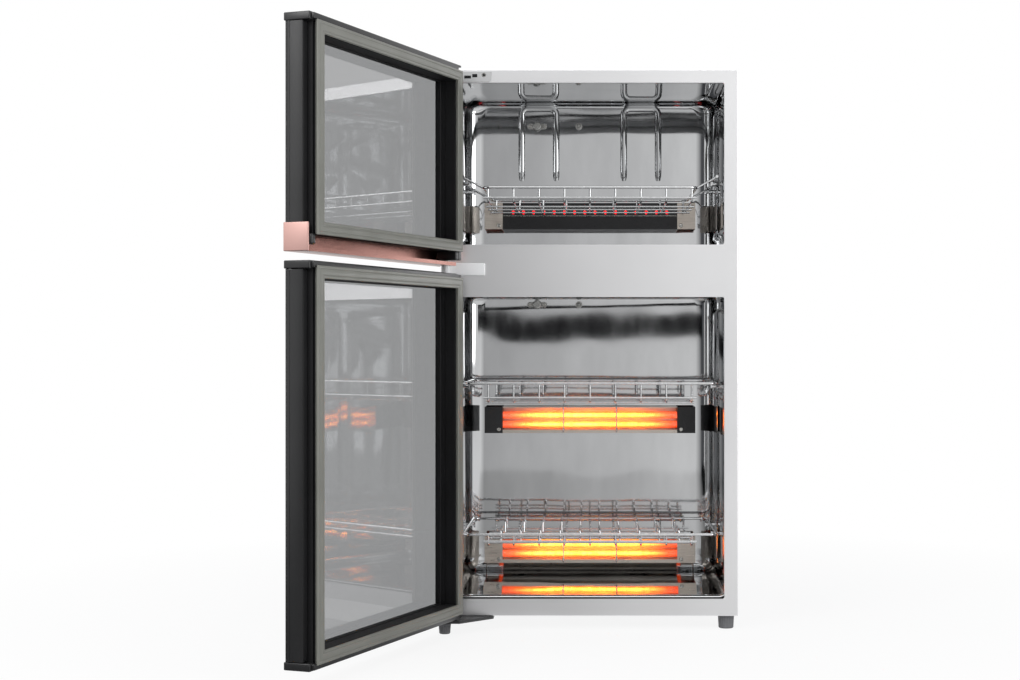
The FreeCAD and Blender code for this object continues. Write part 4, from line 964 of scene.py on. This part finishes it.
bm = bmesh.new()
for centre in (-BEAD_APART, BEAD_APART):
    left, right = centre - BEAD_HALF, centre + BEAD_HALF
    face = LINER_BACK - 0.6
    wire(bm, [(left, LINER_BACK + 4, BEAD_FOOT), (left, face, BEAD_FOOT + 14),
              (left, face, BEAD_TOP), (right, face, BEAD_TOP),
              (right, face, BEAD_FOOT + 14), (right, LINER_BACK + 4, BEAD_FOOT)],
         BEAD_RADIUS, 10, sides=20, steps=8)
wall = Matrix.Translation((0, -LINER_BACK * MM, 0))
bmesh.ops.scale(bm, verts=bm.verts, vec=(1, 0.6, 1), space=wall)
piece(bm, "upper_chamber_beads", "polished_liner", "cabinet")

# %% [markdown]
# ## Heaters
# The two lower heaters run yellow-hot. The upper one only warms the bowls, so its coil glows dull
# red behind a perforated shield. It could share the lower heaters' finish, but it is cooler from
# end to end and has no yellow turns, so it is a finish of its own.

# %% Dull red coil
finishes["filament_red"], tree, place = new_material("nickel_chrome_coil_dull_red")
power = glow_along(tree, place, hot=9.0, cool=5.0)
surface(tree, {"Base Color": linear("#4a2a24"), "Roughness": 0.5,
               "Emission Color": linear("#ff1418")}, Emission_Strength=(power, 0))
print(finishes["filament_red"].name)

# %% [markdown]
# Each quartz tube holds a coil of resistance wire. A small ring of edges is spun round the tube's
# middle line while it moves along, as a coil is wound, which gives a true helix without working
# out its points. A real coil has a turn every millimetre; it is drawn at three, so that the turns
# still show.

# %% Heating coils
TUBE_Y = 107
COIL_START = -136
COIL_LONG = 272
COIL_RADIUS = 2.2
WIRE_RADIUS = 0.55
COIL_PITCH = 3.0
PARTS_PER_TURN = 10


def coils(name, rows, finish_name):
    """A helix in each tube of a heater; rows are the tubes' heights."""
    bm = bmesh.new()
    turns = int(COIL_LONG / COIL_PITCH)
    for z in rows:
        start = Vector((COIL_START * MM, TUBE_Y * MM, z * MM))
        upright = (Matrix.Translation(start + Vector((0, 0, COIL_RADIUS * MM)))
                   @ Matrix.Rotation(math.pi / 2, 4, "X"))
        section = bmesh.ops.create_circle(bm, cap_ends=False, segments=5, radius=WIRE_RADIUS * MM,
                                          matrix=upright)["verts"]
        ring = section + edges_of(section)
        bmesh.ops.spin(bm, geom=ring, cent=start, axis=(1, 0, 0), angle=math.tau * turns,
                       steps=PARTS_PER_TURN * turns,
                       dvec=(COIL_PITCH / PARTS_PER_TURN * MM, 0, 0), use_duplicate=False)
    made = piece(bm, name, "filament", "cabinet", ("heater_filaments",))
    made.data.materials[0] = finishes[finish_name]


coils("bottom_heater_coils", (57.5, 72.5), "filament")
coils("mid_heater_coils", (265.5, 280.5), "filament")
coils("upper_heater_coil", (606,), "filament_red")

# %% [markdown]
# Three measured solids share a slot with others but get a finish of their own: the upper heater's
# ruby tube, the handle's extruded channel, and the grey top hinge plate. The channel is the same
# rose gold as its cast end plates, but darker and glossier: painted shade, for the shade that falls
# inside it under the door. Their slots stay as recorded, and only the finish on the mesh changes.

# %% Solids with a finish of their own
for name, finish_name in (("upper_heater_tubes", "quartz_red"),
                          ("upper_door_handle", "rose_gold_channel"),
                          ("top_hinge_bracket", "hinge_grey")):
    frame["nodes"][name].data.materials[0] = finishes[finish_name]
    print(name, "is", finishes[finish_name].name)

# %% [markdown]
# The shield of the upper heater has three thin rolled ribs that stiffen the hot sheet and catch a
# bright line of light. Half-round strips would do, but whole wires sunk into the sheet are
# simpler.

# %% Rolled ribs on the upper heat shield
RIB_HALF = 139
RIB_Y = 92.7
bm = bmesh.new()
for z in (600.4, 611.6, 614.6):
    wire(bm, [(-RIB_HALF, RIB_Y, z), (RIB_HALF, RIB_Y, z)], 0.9, 1)
piece(bm, "upper_heater_ribs", "screw_steel", "cabinet")

# %% [markdown]
# ## Hinge covers and feet
# The middle hinge's plate and its screws sit under a light grey moulded cover. A sharp-edged box
# would look like a drawing of one, so its edges are rounded by more than a millimetre.

# %% Middle hinge cover
bm = bmesh.new()
block(bm, -211, -152.6, -171.4, -165.1, 494.2, 511.8, edge=1.3, segments=4)
piece(bm, "mid_hinge_cover", "hinge_silver", "cabinet")

# %% [markdown]
# The top hinge plate has two slots beside its screw, through which the pin is adjusted, and the
# screw has a hexagon socket. They could be cut into the solid, but the measured solid stays as it
# is. So thin dark blocks and a six-sided plug lie in the plate's face: painted shade, for the
# shade inside the slots and the socket.

# %% Painted shade in the slots and socket of the top hinge
PLATE_FRONT = -166.5
MARK_BACK = -165.6
SOCKET_AT = (-154 * MM, -166.05 * MM, 785 * MM)
bm = bmesh.new()
block(bm, -182.4, -172.6, PLATE_FRONT, MARK_BACK, 779.9, 784.2, edge=0.4, segments=3)
block(bm, -170.8, -163.4, PLATE_FRONT, MARK_BACK, 781.6, 786.4, edge=0.4, segments=3)
facing = Matrix.Translation(SOCKET_AT) @ Matrix.Rotation(math.pi / 2, 4, "X")
socket = bmesh.ops.create_cone(bm, cap_ends=True, segments=6, radius1=2.0 * MM, radius2=2.0 * MM,
                               depth=0.9 * MM, matrix=facing)["verts"]
bmesh.ops.bevel(bm, geom=edges_of(socket), offset=0.2 * MM,
                affect="EDGES", segments=2, profile=0.5, material=-1)
piece(bm, "top_hinge_painted_shade_slots", "black_plastic", "cabinet")

# %% [markdown]
# The feet are moulded rubber with upright flutes, so that a finger can turn them. A flute could
# be a small groove cut 22 times. Here a circle with twice as many sides as flutes is extruded
# from level to level, and every second side is drawn inwards.

# %% Fluted feet
FLUTES = 22
FLUTE_DEPTH = 0.7


def fluted_foot(node_name, x, y, top_radius, bottom_radius, top_z):
    """A tapered foot with flutes between a smooth collar and a smooth sole."""
    bm = bmesh.new()
    levels = ((-20, bottom_radius - 1.2, 0), (-19.2, bottom_radius - 0.2, 0),
              (-18, bottom_radius, 0), (-16.8, bottom_radius, FLUTE_DEPTH),
              (top_z - 4.2, top_radius - 0.3, FLUTE_DEPTH), (top_z - 3.2, top_radius, 0),
              (top_z, top_radius, 0))
    shape = bmesh.ops.create_circle(bm, cap_ends=True, segments=2 * FLUTES, radius=1.0)["verts"]
    ring = edges_of(shape)
    for index, (z, radius, depth) in enumerate(levels):
        if index:
            made = bmesh.ops.extrude_edge_only(bm, edges=ring)["geom"]
            shape = only(bmesh.types.BMVert, made)
            ring = only(bmesh.types.BMEdge, made)
        for vert in shape:
            angle = math.atan2(vert.co.y, vert.co.x)
            drawn_in = depth if round(angle / math.pi * FLUTES) % 2 else 0
            vert.co = Vector((math.cos(angle), math.sin(angle), 0)) * (radius - drawn_in) * MM
            vert.co.z = z * MM
    bmesh.ops.edgeloop_fill(bm, edges=ring)
    bmesh.ops.translate(bm, verts=bm.verts, vec=(x * MM, y * MM, 0))
    piece(bm, node_name + "_fluted", "foot_rubber", "cabinet", (node_name,), sharp_deg=28)


fluted_foot("foot_front_right", 199, -145, 12, 11, 0)
fluted_foot("foot_back_right", 199, 145, 12, 11, 0)
fluted_foot("foot_back_left", -199, 145, 12, 11, 0)
fluted_foot("foot_hinge_side", -208, -196.5, 9, 8, -4)

# %% [markdown]
# The last cell gives the two corners of a box as plain lists of numbers.

# %% Box corners
def corners(box):
    """The two corners of a box as plain lists of numbers."""
    return [list(box[0]), list(box[1])]
